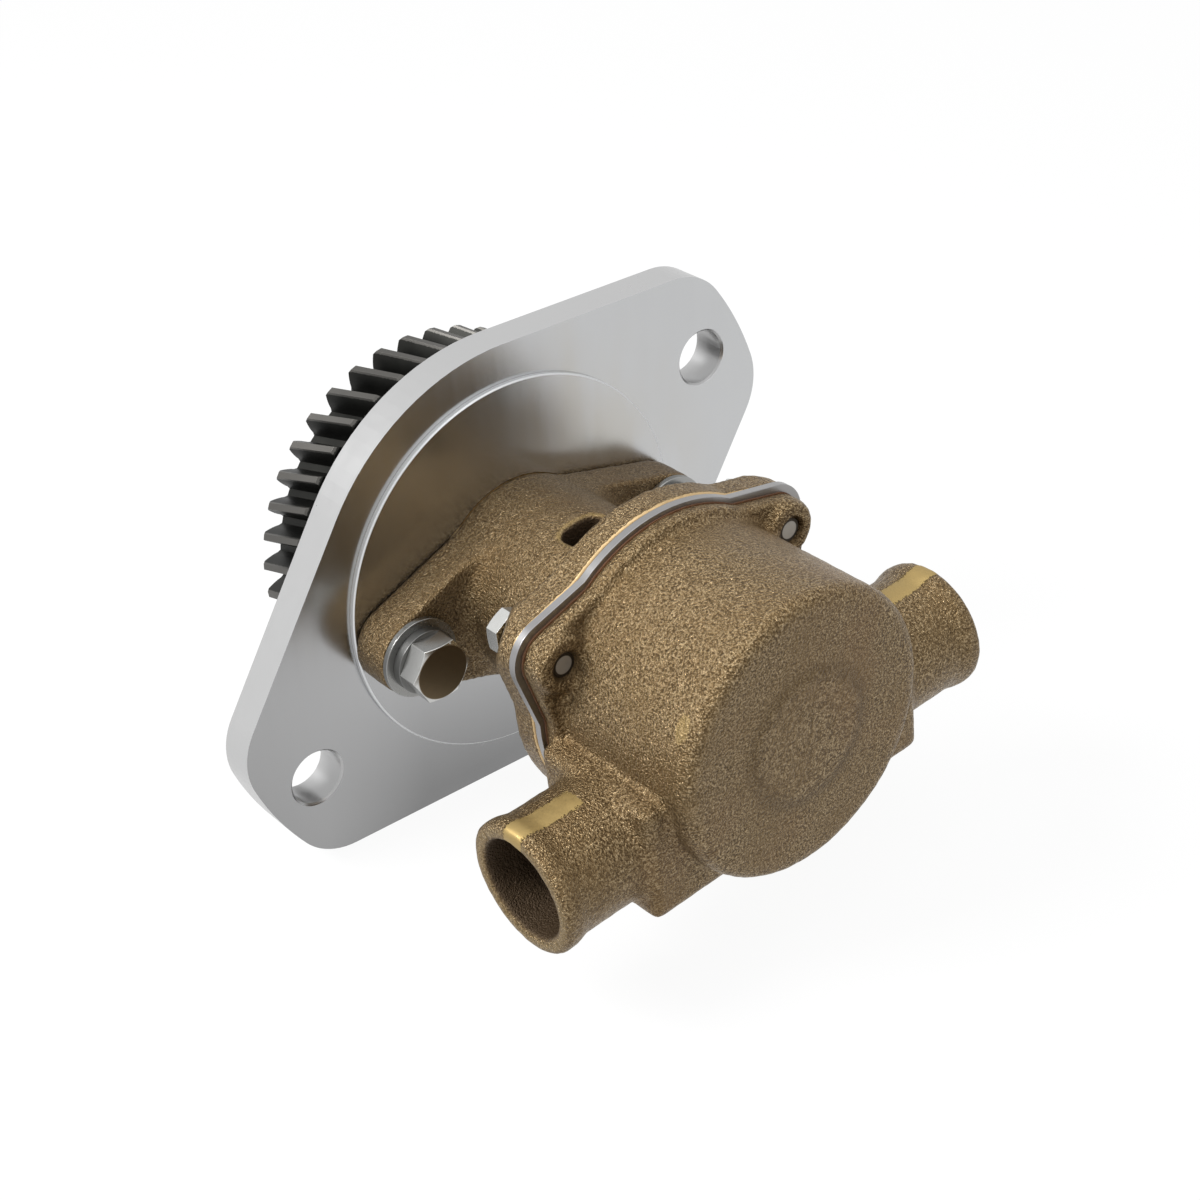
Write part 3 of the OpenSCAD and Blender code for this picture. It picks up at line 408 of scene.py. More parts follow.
@dataclass(frozen=True)
class BodyMarks:
    """Where the body is ground or machined, and where shade is painted: in the port bores, along the end
    pad's edge and at the screw holes, in the pump's own turn.
    """

    strip_start: float = 47.3 * MM
    strip_end: float = 66.5 * MM
    strip_half_width: float = 2.9 * MM
    strip_edge: float = 0.25 * MM
    strip_height: float = 8.0 * MM
    spot_across: float = -30.8 * MM
    spot_station: float = 108.5 * MM
    spot_radius: float = 1.6 * MM
    spot_height: float = 10.0 * MM
    spot_strength: float = 0.35
    mouth_depth: float = 0.3 * MM
    mouth_fray: float = 0.2
    mouth_strength: float = 0.2
    seat_depth: float = 0.3 * MM
    seat_edge: float = 0.15 * MM
    bore_margin: float = 0.1 * MM
    bore_edge: float = 0.7 * MM
    bore_start: float = 20.0 * MM
    bore_lip: float = 0.6 * MM
    bore_fade: float = 2.5 * MM
    pad_half_width: float = 0.3 * MM
    pad_fade: float = 3.0 * MM
    pad_depth: float = 3.0 * MM
    pad_fray: float = 0.8
    pad_shade_strength: float = 0.4
    hole_shade_radius: float = 3.7 * MM
    hole_shade_start: float = 2.0 * MM
    hole_shade_end: float = 12.0 * MM
    hole_shade_strength: float = 0.85

    def masks(self, r: Recipe, fray: Socket) -> SkinMasks:
        """Masks the body's skin.

        Args:
            r: The material's recipe.
            fray: What roughens the masks' edges, in metres.

        Returns:
            The masks.
        """
        x, y, z = r.axes(PUMP_TURN)
        station, side, up = -y, x.absolute(), z + PORT_DROP
        strip = side.above(self.strip_start + fray, CRISP) * side.below(self.strip_end, CRISP)
        across = (station - PORT_STATION).absolute()
        strip = strip * across.below(self.strip_half_width + fray, self.strip_edge)
        strip = strip * up.above(self.strip_height, SOFTENED)
        spot = (x - self.spot_across).hypot(station - self.spot_station)
        spot = spot.below(self.spot_radius + fray, FRAYED) * z.above(self.spot_height, FADED)
        mouth = side.above(PORT_REACH - self.mouth_depth + fray * self.mouth_fray, CRISP)
        seat = station.below(BODY_BACK + self.seat_depth, self.seat_edge)
        # Painted shade: the inside of each port bore is darkened, fading out toward its mouth.
        bore = up.hypot(station - PORT_STATION).below(PORT_BORE + self.bore_margin, self.bore_edge)
        bore = bore * side.below(PORT_REACH - self.bore_lip, self.bore_fade)
        # Painted shade: a dark ring along the end pad's edge stands in for the shade at its low step.
        pad_edge_shade = (x.hypot(z) - END_PAD - fray * self.pad_fray).absolute()
        pad_edge_shade = pad_edge_shade.below(self.pad_half_width, self.pad_fade)
        pad_edge_shade = pad_edge_shade * station.above(BODY_END - self.pad_depth, FADED)
        # Painted shade: the skin close round each body screw, along the ear, is darkened as shade in the
        # hole.
        ears = screw_distance(r).below(self.hole_shade_radius, SOFTENED)
        ears = ears * station.above(BODY_BACK + self.hole_shade_start, SOFTENED)
        ears = ears * station.below(BODY_BACK + self.hole_shade_end, SOFTENED)
        return SkinMasks(
            ground=strip.most(spot * self.spot_strength).most(mouth * self.mouth_strength),
            machined=seat,
            shaded_hollow=bore * side.above(self.bore_start, FADED),
            painted_shade=(pad_edge_shade * self.pad_shade_strength).most(ears * self.hole_shade_strength),
        )


@dataclass(frozen=True)
class HousingMarks:
    """Where the housing is filed or machined, and where shade is painted: in its bore and toward the
    plate, in the pump's own turn.
    """

    slot_half_length: float = 3.6 * MM
    slot_half_width: float = 1.4 * MM
    slot_height: float = 18.0 * MM
    filed_width: float = 3.6 * MM
    filed_depth: float = 0.7 * MM
    filed_edge: float = 0.4 * MM
    filed_strength: float = 0.35
    lip_depth: float = 0.9 * MM
    lip_fray: float = 0.3
    seat_depth: float = 0.2 * MM
    wall: float = 1.2 * MM
    plate_shade_end: float = 30.0 * MM
    plate_shade_fade: float = 14.0 * MM
    plate_shade_strength: float = 0.30

    def masks(self, r: Recipe, fray: Socket) -> SkinMasks:
        """Masks the housing's skin.

        Args:
            r: The material's recipe.
            fray: What roughens the masks' edges, in metres.

        Returns:
            The masks.
        """
        x, y, z = r.axes(PUMP_TURN)
        station, radius = -y, x.hypot(z)
        slot_x = (x.absolute() - self.slot_half_length).most(0.0)
        slot_y = ((station - WEEP_STATION).absolute() - self.slot_half_width).most(0.0)
        filed = slot_x.hypot(slot_y).below(self.filed_width + fray, FRAYED)
        filed = filed * radius.above(NECK_RADIUS - self.filed_depth, self.filed_edge)
        filed = filed * z.absolute().above(self.slot_height, FADED) * self.filed_strength
        lip = station.above(HOUSING_FRONT - self.lip_depth + fray * self.lip_fray, CRISP)
        seat = station.below(FOOT_BACK + self.seat_depth, HAIRLINE)
        # Painted shade: the housing's bore, inside the neck, is darkened.
        shaded_hollow = radius.below(NECK_RADIUS - self.wall, FADED) * station.above(FOOT_BACK, FADED)
        return SkinMasks(
            ground=filed * (1.0 - shaded_hollow),
            machined=lip.most(seat) * (1.0 - shaded_hollow),
            shaded_hollow=shaded_hollow,
            # Painted shade: the housing grows darker toward the plate, up to this station.
            painted_shade=station.below(self.plate_shade_end, self.plate_shade_fade) * self.plate_shade_strength,
        )


@dataclass(frozen=True)
class SandCastBronze:
    """Bronze as it comes from the sand, with ground and machined places, and painted shade in its bores
    and other shaded places.
    """

    name: str
    mark: Mark
    dark: Colour = (0.078, 0.048, 0.020)
    middle: Colour = (0.192, 0.130, 0.062)
    light: Colour = (0.460, 0.350, 0.205)
    clouded: Colour = (0.165, 0.105, 0.045)
    stained: Colour = (0.185, 0.100, 0.041)
    ground: Colour = (0.385, 0.278, 0.112)
    machined: Colour = (0.560, 0.400, 0.210)
    bore_shade: Colour = (0.050, 0.028, 0.011)
    stops: tuple[float, float, float] = (0.38, 0.51, 0.68)
    grain_scale: float = 1700.0
    dome_scale: float = 2600.0
    dome_share: float = 0.28
    cloud_scale: float = 60.0
    cloud_start: float = 0.45
    cloud_strength: float = 0.8
    stain_scale: float = 34.0
    stain_start: float = 0.54
    stain_strength: float = 0.45
    bore_shade_strength: float = 0.94
    fray_width: float = 2.4 * MM
    relief_depth: float = 0.7 * MM
    shine_start: float = 0.54
    rough: float = 0.40
    metal: float = 0.84

    def make(self) -> bpy.types.Material:
        """Returns the bronze's material."""
        r = Recipe(self.name)
        grain = r.grain(self.grain_scale, 6.0)
        domes = 1.0 - r.cells(self.dome_scale)
        cloud = ((r.grain(self.cloud_scale, 3.0) - self.cloud_start) * 2.0).clamped()
        stain = ((r.grain(self.stain_scale, 4.0) - self.stain_start) * 3.0).clamped()
        tone = grain * (1.0 - self.dome_share) + domes * self.dome_share
        skin = r.ramp(tone, list(zip(self.stops, (self.dark, self.middle, self.light))))
        skin = r.blend(cloud * self.cloud_strength, skin, self.clouded)
        skin = r.blend(stain * self.stain_strength, skin, self.stained)
        marks = BodyMarks() if self.mark is Mark.BODY else HousingMarks()
        masks = marks.masks(r, (grain - 0.5) * self.fray_width)
        # Painted shade: the skin takes the dark colour where the marks paint shade.
        colour = r.blend(masks.painted_shade, skin, self.dark)
        colour = r.blend(masks.ground, colour, self.ground)
        colour = r.blend(masks.machined, colour, self.machined)
        # Painted shade: the bores are darkened nearly to black, and made rougher and less metallic.
        colour = r.blend(masks.shaded_hollow * self.bore_shade_strength, colour, self.bore_shade)
        smooth = masks.ground.most(masks.machined)
        shine = tone.above(self.shine_start, 0.10)
        rough = self.rough - shine * 0.14 + masks.shaded_hollow * 0.2 + masks.ground * 0.16
        relief = r.bump(tone * (1.0 - smooth), 1.0, self.relief_depth)
        metal = self.metal - masks.shaded_hollow * 0.4
        return r.dress(base_color=colour, metallic=metal, roughness=rough, normal=relief)


@dataclass(frozen=True)
class CutMetal:
    """A metal that was turned, milled, ground or plated."""

    name: str
    colour: Colour
    rough: float
    metal: float = 1.0
    streaks: Colour = (1.0, 1.0, 1.0)
    streak_scale: float = 900.0
    cloud_scale: float = 140.0
    cloud_share: float = 0.6
    relief: float = 0.02
    mottle: float = 0.06

    def make(self) -> bpy.types.Material:
        """Returns the metal's material."""
        r = Recipe(self.name)
        lines = r.grain(self.streak_scale, 2.0, self.streaks)
        cloud = r.grain(self.cloud_scale, 3.0)
        dim = tuple(c * (1.0 - 2.0 * self.mottle) for c in self.colour)
        tone = cloud * self.cloud_share + lines * (1.0 - self.cloud_share)
        colour = r.blend(tone.clamped(), dim, self.colour)
        rough = self.rough + (cloud - 0.5) * (self.rough * 0.3) + (lines - 0.5) * (self.rough * 0.2)
        relief = r.bump(lines, self.relief * 4.0, 2.0 * FINE_RELIEF)
        return r.dress(base_color=colour, metallic=self.metal, roughness=rough, normal=relief)


@dataclass(frozen=True)
class ScrewSteel:
    """Plated steel whose one end, past a station along the shaft, has another colour and finish, with
    painted shade on that end beyond a radius from the nearest body screw's axis.
    """

    name: str
    end_station: float
    end_colour: Colour
    end_rough: float
    end_metal: float
    end_radius: float = 1.0
    shade_around_end: Colour = (0.03, 0.022, 0.014)
    colour: Colour = (0.52, 0.52, 0.505)
    rough: float = 0.25
    cloud_scale: float = 500.0

    def make(self) -> bpy.types.Material:
        """Returns the steel's material."""
        r = Recipe(self.name)
        _, y, _ = r.axes()
        cloud = r.grain(self.cloud_scale, 3.0)
        end = (-y).above(self.end_station, HAIRLINE)
        colour = r.blend(end, self.colour, self.end_colour)
        # Painted shade: the end darkens beyond this radius from the nearest body screw's axis.
        around = screw_distance(r).above(self.end_radius, CRISP)
        colour = r.blend(end * around, colour, self.shade_around_end)
        dim = tuple(c * 0.5 for c in self.end_colour)
        colour = r.blend((cloud - 0.5).clamped() * 0.6, colour, dim)
        rough = self.rough + end * (self.end_rough - self.rough) + (cloud - 0.5) * 0.1
        metal = 1.0 - end * (1.0 - self.end_metal)
        return r.dress(base_color=colour, metallic=metal, roughness=rough)


@dataclass(frozen=True)
class ToothSteel:
    """Dark hardened gear steel, worn lighter on the top lands."""

    name: str = "gear_steel_oiled"
    dark: Colour = (0.010, 0.010, 0.009)
    land: Colour = (0.100, 0.096, 0.089)
    web: Colour = (0.060, 0.060, 0.062)
    land_radius: float = 49.35 * MM
    land_fray: float = 0.5 * MM
    land_edge: float = 0.15 * MM
    web_radius: float = 43.4 * MM
    web_edge: float = 0.6 * MM
    cloud_scale: float = 180.0
    cloud_gain: float = 2.6
    fine_scale: float = 2200.0
    rough: float = 0.40
    metal: float = 0.9

    def make(self) -> bpy.types.Material:
        """Returns the gear's material."""
        r = Recipe(self.name)
        x, y, z = r.axes()
        cloud = r.grain(self.cloud_scale, 3.0)
        fine = r.grain(self.fine_scale, 2.0)
        radius = x.hypot(z)
        worn = radius.above(self.land_radius + (fine - 0.5) * self.land_fray, self.land_edge)
        steel = r.blend(cloud, self.dark, tuple(c * self.cloud_gain for c in self.dark))
        steel = r.blend(radius.below(self.web_radius, self.web_edge), steel, self.web)
        colour = r.blend(worn, steel, self.land)
        rough = self.rough + cloud * 0.14 - worn * 0.02
        relief = r.bump(fine, 0.08, FINE_RELIEF)
        return r.dress(base_color=colour, metallic=self.metal, roughness=rough, normal=relief)


@dataclass(frozen=True)
class Soft:
    """Rubber, carbon, ceramic or gasket sheet."""

    name: str
    colour: Colour
    rough: float
    grain_scale: float = 900.0
    spread: float = 0.25
    relief: float = 0.1

    def make(self) -> bpy.types.Material:
        """Returns the material."""
        r = Recipe(self.name)
        grain = r.grain(self.grain_scale, 3.0)
        pale = tuple(min(1.0, c * (1.0 + self.spread) + 0.004) for c in self.colour)
        colour = r.blend(grain, self.colour, pale)
        rough = self.rough + (grain - 0.5) * 0.15
        relief = r.bump(grain, self.relief, FINE_RELIEF)
        return r.dress(base_color=colour, metallic=0.0, roughness=rough, normal=relief)


@dataclass(frozen=True)
class MachinedPlate:
    """The adapter plate's aluminium: a fly-cut front, sawn and milled edges, with painted shade toward
    the bottom and the lower left and a painted reflection of the bronze near the pump.
    """

    dull: Colour = (0.49, 0.495, 0.50)
    pale: Colour = (0.58, 0.585, 0.59)
    painted_lower_left_shade: Colour = (0.31, 0.31, 0.31)
    lower_left_shade_length: float = 140.0 * MM
    lower_left_shade_start: float = 0.05
    painted_bronze_reflection: Colour = (0.48, 0.44, 0.36)
    bronze_reflection_radius: float = 40.0 * MM
    bronze_reflection_fade: float = 30.0 * MM
    bronze_reflection_height: float = -10.0 * MM
    bronze_reflection_rise: float = 20.0 * MM
    bronze_reflection_start: float = 0.46
    bronze_reflection_strength: float = 0.4
    shaded: Colour = (0.20, 0.20, 0.20)
    shaded_height: float = -16.0 * MM
    shaded_fall: float = 40.0 * MM
    shaded_side: float = -62.0 * MM
    shaded_fade: float = 30.0 * MM
    shaded_strength: float = 0.8
    rim: Colour = (0.72, 0.73, 0.74)
    rim_width: float = 0.5 * MM
    edge: Colour = (0.46, 0.46, 0.46)
    speck: Colour = (0.45, 0.45, 0.45)
    sweep_scale: float = 420.0
    sweep_run: Place = (1.0, 1.0, 0.03)
    edge_scale: float = 900.0
    edge_run: Place = (0.02, 1.0, 0.02)
    bronze_reflection_scale: float = 45.0
    bronze_reflection_run: Place = (1.0, 1.0, 0.35)
    cloud_scale: float = 28.0
    cloud_share: float = 0.7
    speck_scale: float = 700.0
    speck_start: float = 0.72
    speck_strength: float = 0.25
    rough: float = 0.30
    metal: float = 0.70

    def make(self) -> bpy.types.Material:
        """Returns the plate's material."""
        r = Recipe("machined_aluminium_plate")
        x, y, z = r.axes()
        sweep = r.grain(self.sweep_scale, 3.0, self.sweep_run)
        edge_lines = r.grain(self.edge_scale, 2.0, self.edge_run)
        cloud = r.grain(self.cloud_scale, 2.0)
        speck = r.grain(self.speck_scale, 2.0).above(self.speck_start, 0.05)
        station, radius = -y, x.hypot(z)
        face = station.above(PLATE_FACE - CRISP, HAIRLINE)
        tone = cloud * self.cloud_share + sweep * (1.0 - self.cloud_share)
        colour = r.blend(tone, self.dull, self.pale)
        # Painted shade: the plate grows darker toward the lower left.
        painted_lower_left_shade = ((-x - z) / self.lower_left_shade_length + self.lower_left_shade_start).clamped()
        colour = r.blend(painted_lower_left_shade, colour, self.painted_lower_left_shade)
        # Painted reflection: warm patches of the bronze pump on the face near the neck, on its upper
        # part.
        painted_bronze_reflection = r.grain(self.bronze_reflection_scale, 4.0, self.bronze_reflection_run).above(self.bronze_reflection_start, 0.16)
        painted_bronze_reflection = painted_bronze_reflection * radius.below(self.bronze_reflection_radius, self.bronze_reflection_fade)
        painted_bronze_reflection = painted_bronze_reflection * z.above(self.bronze_reflection_height, self.bronze_reflection_rise)
        colour = r.blend(painted_bronze_reflection * self.bronze_reflection_strength, colour, self.painted_bronze_reflection)
        shaded = (self.shaded_height - z) / self.shaded_fall * x.above(self.shaded_side, self.shaded_fade)
        colour = r.blend(shaded.clamped() * self.shaded_strength, colour, self.shaded)
        rim = radius.above(RAISED_RADIUS - self.rim_width, CRISP)
        rim = rim * station.above(PLATE_FACE + HAIRLINE, HAIRLINE)
        colour = r.blend(rim, colour, self.rim)
        colour = r.blend(1.0 - face, colour, self.edge)
        colour = r.blend(speck * self.speck_strength, colour, self.speck)
        rough = self.rough - face * 0.06 + rim * 0.15 + (cloud - 0.5) * 0.06 + (sweep - 0.5) * 0.10
        relief = r.bump(sweep * face + edge_lines * (1.0 - face) * 2.0, 0.05, FINE_RELIEF)
        metal = self.metal + face * 0.28 - rim * 0.3
        return r.dress(base_color=colour, metallic=metal, roughness=rough, normal=relief)


@dataclass
class Casting:
    """A casting remade from its solid with soft, sand-rough edges."""

    node: str
    name: str
    body: str
    slot: str
    voxel: float = 0.72 * MM
    rounds: int = 5
    roughness: float = 0.09 * MM
    fine_lumps: float = 520.0
    coarse_lumps: float = 170.0
    coarse_share: float = 0.6
    held_depth: float = 0.12 * MM
    held_stations: list[float] = field(default_factory=list)

    def _copy_solid(self) -> bpy.types.Object:
        """Copies the solid, turned so that its own axes are the world's.

        Returns:
            The copy, with its doubles merged.
        """
        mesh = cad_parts[self.node].data.copy()
        mesh.materials.clear()
        piece = bpy.data.objects.new(self.name, mesh)
        bpy.context.scene.collection.objects.link(piece)
        work = bmesh.new()
        work.from_mesh(mesh)
        bmesh.ops.remove_doubles(work, verts=work.verts, dist=JOINED_WITHIN * 2.0)
        bmesh.ops.rotate(work, verts=work.verts, matrix=Matrix.Rotation(PUMP_TURN, 3, "Y"))
        work.to_mesh(mesh)
        work.free()
        return piece

    def _remesh(self, piece: bpy.types.Object) -> None:
        """Turns the piece's mesh into even quads.

        Args:
            piece: The piece, whose mesh is exchanged.
        """
        modifier = piece.modifiers.new("even_mesh", "REMESH")
        modifier.mode = "VOXEL"
        modifier.voxel_size = self.voxel
        graph = bpy.context.evaluated_depsgraph_get()
        even = bpy.data.meshes.new_from_object(piece.evaluated_get(graph))
        piece.modifiers.clear()
        piece.data = even
        even.name = self.name

    def _held(self, place: Vector) -> bool:
        """Returns whether a machined face or a screw hole's mouth lies at this place."""
        if any(abs(-place.y - held) < self.held_depth for held in self.held_stations):
            return True
        return any(math.hypot(place.x - x, place.z - z) < SCREW_MOUTH for x, z in screw_places())

    def _soften(self, piece: bpy.types.Object) -> None:
        """Smooths the cast skin, roughens it and turns the piece back into place.

        Args:
            piece: The piece.
        """
        work = bmesh.new()
        work.from_mesh(piece.data)
        free = [v for v in work.verts if not self._held(v.co)]
        for _ in range(self.rounds):
            bmesh.ops.smooth_vert(
                work, verts=free, factor=0.5, use_axis_x=True, use_axis_y=True, use_axis_z=True
            )
        work.normal_update()
        for vert in free:
            rough = noise.noise(vert.co * self.fine_lumps)
            rough += self.coarse_share * noise.noise(vert.co * self.coarse_lumps)
            vert.co += vert.normal * (rough * self.roughness)
        bmesh.ops.rotate(work, verts=work.verts, matrix=Matrix.Rotation(-PUMP_TURN, 3, "Y"))
        for face in work.faces:
            face.smooth = True
        work.to_mesh(piece.data)
        work.free()

    def build(self, material: bpy.types.Material) -> bpy.types.Object:
        """Makes the piece and puts it in the solid's place.

        Args:
            material: Its material.

        Returns:
            The piece.
        """
        piece = self._copy_solid()
        self._remesh(piece)
        self._soften(piece)
        piece.data.materials.append(material)
        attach(piece, self.body)
        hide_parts(self.node)
        LOG.info("%s: %d faces", self.name, len(piece.data.polygons))
        return piece


@dataclass
class CrispCopy:
    """A cut or pressed piece whose solid is copied with fine, bright edges."""

    node: str
    body: str
    width: float = 0.22 * MM
    sharp: float = math.radians(28.0)
    crease: float = math.radians(28.0)
    flat: float = math.radians(0.6)
    joins_flats: bool = True

    def build(self, material: bpy.types.Material) -> bpy.types.Object:
        """Makes the copy and puts it in the solid's place.

        Args:
            material: Its material.

        Returns:
            The copy.
        """
        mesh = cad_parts[self.node].data.copy()
        mesh.name = self.node + "_finished"
        mesh.materials.clear()
        mesh.materials.append(material)
        work = bmesh.new()
        work.from_mesh(mesh)
        bmesh.ops.remove_doubles(work, verts=work.verts, dist=JOINED_WITHIN)
        if self.joins_flats:
            bmesh.ops.dissolve_limit(
                work, angle_limit=self.flat, use_dissolve_boundaries=False,
                verts=work.verts, edges=work.edges, delimit={"NORMAL"},
            )
        self._shape(work)
        for face in work.faces:
            face.smooth = True
        for edge in work.edges:
            edge.smooth = len(edge.link_faces) == 2 and edge.calc_face_angle() < self.crease
        work.to_mesh(mesh)
        work.free()
        piece = bpy.data.objects.new(mesh.name, mesh)
        bpy.context.scene.collection.objects.link(piece)
        bevel = piece.modifiers.new("broken_edges", "BEVEL")
        bevel.width = self.width
        bevel.segments = 2
        bevel.limit_method = "ANGLE"
        bevel.angle_limit = self.sharp
        bevel.harden_normals = True
        bevel.use_clamp_overlap = True
        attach(piece, self.body)
        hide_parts(self.node)
        LOG.info("%s: %d faces before its bevel", piece.name, len(mesh.polygons))
        return piece

    def _shape(self, work: bmesh.types.BMesh) -> None:
        """Changes the copied mesh; a plain copy stays as it is.

        Args:
            work: The mesh.
        """


@dataclass
class HelicalCopy(CrispCopy):
    """A gear whose teeth are twisted about the shaft from the straight ones of its solid."""

    still_end: float = 29.5 * MM
    web_radius: float = 30.0 * MM
    pitch_radius: float = 47.5 * MM
    helix: float = math.radians(15.0)

    def _shape(self, work: bmesh.types.BMesh) -> None:
        """Twists what lies beyond the web, and leaves the end toward the engine in place.

        Args:
            work: The mesh.
        """
        rate = math.tan(self.helix) / self.pitch_radius
        for vert in work.verts:
            if math.hypot(vert.co.x, vert.co.z) > self.web_radius:
                turn = (vert.co.y - self.still_end) * rate
                vert.co = Matrix.Rotation(-turn, 3, "Y") @ vert.co


def paint(names: Iterable[str], material: bpy.types.Material) -> None:
    """Gives solids a material.

    Args:
        names: The solids' nodes.
        material: The material.
    """
    for name in names:
        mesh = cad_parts[name].data
        mesh.materials.clear()
        mesh.materials.append(material)
        LOG.info("%s: %s", name, material.name)


@dataclass
class EngineFlange:
    """The plate that bolts to the engine, with the foot's fasteners."""

    # Painted reflection and shade: the brown end colour paints the bronze housing reflected in the foot
    # bolts' tops, and, as these lie far from the body screws, their whole tops take the dark shade
    # colour.
    bolt_top: ScrewSteel = ScrewSteel(
        "foot_bolt_steel", FOOT_BOLT_TOP, end_colour=(0.160, 0.120, 0.070), end_rough=0.30, end_metal=0.9
    )
    screw_end: ScrewSteel = ScrewSteel(
        "body_screw_steel", BODY_BACK, end_colour=(0.38, 0.36, 0.33), end_rough=0.40, end_metal=0.7,
        end_radius=2.15 * MM,
    )
    washer: CutMetal = CutMetal("washer_steel", (0.33, 0.33, 0.32), rough=0.28, relief=0.0)
    # Painted shade: the spring washers are darker than the flat washers, as the shade between washer and
    # hex.
    spring_washer: CutMetal = CutMetal("shaded_spring_washer_steel", (0.20, 0.20, 0.195), rough=0.35, relief=0.0)
    bolt_crease: float = math.radians(20.0)
    thin_edge: float = 0.15 * MM

    def build(self) -> None:
        """Dresses the plate and the fasteners."""
        paint(["adapter_plate"], MachinedPlate().make())
        CrispCopy("foot_bolts", "case", crease=self.bolt_crease).build(self.bolt_top.make())
        CrispCopy("foot_washers", "case").build(self.washer.make())
        CrispCopy("body_screws", "case").build(self.screw_end.make())
        CrispCopy("foot_spring_washers", "case", width=self.thin_edge).build(self.spring_washer.make())


@dataclass
class PumpEnd:
    """Both castings, the wear plate, the gasket and what turns between them."""

    housing: Casting = field(
        default_factory=lambda: Casting(
            "bearing_housing", "bearing_housing_cast", "case", "cast_bronze",
            held_stations=[HOUSING_FRONT],
        )
    )
    body: Casting = field(
        default_factory=lambda: Casting(
            "pump_body", "pump_body_cast", "case", "cast_bronze",
            held_stations=[BODY_BACK],
        )
    )
    sheet: CutMetal = CutMetal(
        "wear_plate_sheet", (0.34, 0.335, 0.335), rough=0.34, streaks=(1.0, 0.1, 0.1), relief=0.01
    )
    brass: CutMetal = CutMetal("turned_brass", (0.62, 0.46, 0.22), rough=0.28, relief=0.02)
    gasket: Soft = Soft("gasket_sheet", (0.150, 0.070, 0.032), rough=0.75)
    rubber: Soft = Soft("moulded_rubber", (0.014, 0.014, 0.014), rough=0.55)
    ceramic: Soft = Soft("lapped_ceramic", (0.72, 0.69, 0.60), rough=0.22, relief=0.02)
    carbon: Soft = Soft("lapped_carbon", (0.025, 0.025, 0.028), rough=0.35, relief=0.02)
    brass_pieces: tuple[str, ...] = ("cam", "cam_screw", "impeller_hub", "seal_washer")
    rubber_pieces: tuple[str, ...] = (
        "impeller", "oil_seal", "slinger_ring", "seal_seat_cup", "seal_bellows", "housing_o_ring",
    )
    thin_edge: float = 0.15 * MM

    def build(self) -> None:
        """Makes the castings and dresses the plate, the gasket, the cam and the impeller."""
        self.housing.build(SandCastBronze("cast_bronze_housing", Mark.HOUSING).make())
        self.body.build(SandCastBronze("cast_bronze_body", Mark.BODY).make())
        steel = self.sheet.make()
        paint(["end_wear_disc"], steel)
        CrispCopy("wear_plate", "case", width=self.thin_edge).build(steel)
        paint(["body_gasket"], self.gasket.make())
        paint(self.brass_pieces, self.brass.make())
        paint(self.rubber_pieces, self.rubber.make())
        paint(["seal_seat"], self.ceramic.make())
        paint(["seal_ring"], self.carbon.make())


@dataclass
class DriveLine:
    """The shaft with its gear and bearings."""

    races: tuple[str, ...] = (
        "rear_bearing_outer_race", "rear_bearing_inner_race", "rear_bearing_balls",
        "front_bearing_outer_race", "front_bearing_inner_race", "front_bearing_balls",
    )
    body: str = "rotor"
    cages: tuple[str, ...] = ("rear_bearing_cage", "front_bearing_cage")
    ground_pieces: tuple[str, ...] = (
        "drive_shaft", "gear_key", "impeller_key", "bearing_spacer", "seal_spring",
    )
    race_steel: CutMetal = CutMetal("polished_race_steel", (0.58, 0.58, 0.60), rough=0.16, relief=0.005)
    cage_brass: CutMetal = CutMetal("pressed_cage_brass", (0.55, 0.40, 0.18), rough=0.35)
    shaft_steel: CutMetal = CutMetal("ground_shaft_steel", (0.42, 0.42, 0.43), rough=0.26)
    clip_steel: CutMetal = CutMetal("blued_clip_steel", (0.06, 0.06, 0.065), rough=0.35)
    zinc: CutMetal = CutMetal("zinc_plate", (0.52, 0.52, 0.505), rough=0.25, mottle=0.03, relief=0.0)

    def build(self) -> None:
        """Dresses the gear, the shaft and the bearings."""
        HelicalCopy("drive_gear", self.body, joins_flats=False).build(ToothSteel().make())
        paint(["gear_washer", "gear_nut"], self.zinc.make())
        paint(self.races, self.race_steel.make())
        paint(self.cages, self.cage_brass.make())
        paint(self.ground_pieces, self.shaft_steel.make())
        paint(["bearing_circlip"], self.clip_steel.make())


@dataclass(frozen=True)
class Lamp:
    """One soft, square lamp: its place and size in metres and its power in watts."""

    name: str
    place: Place
    size: float
    power: float


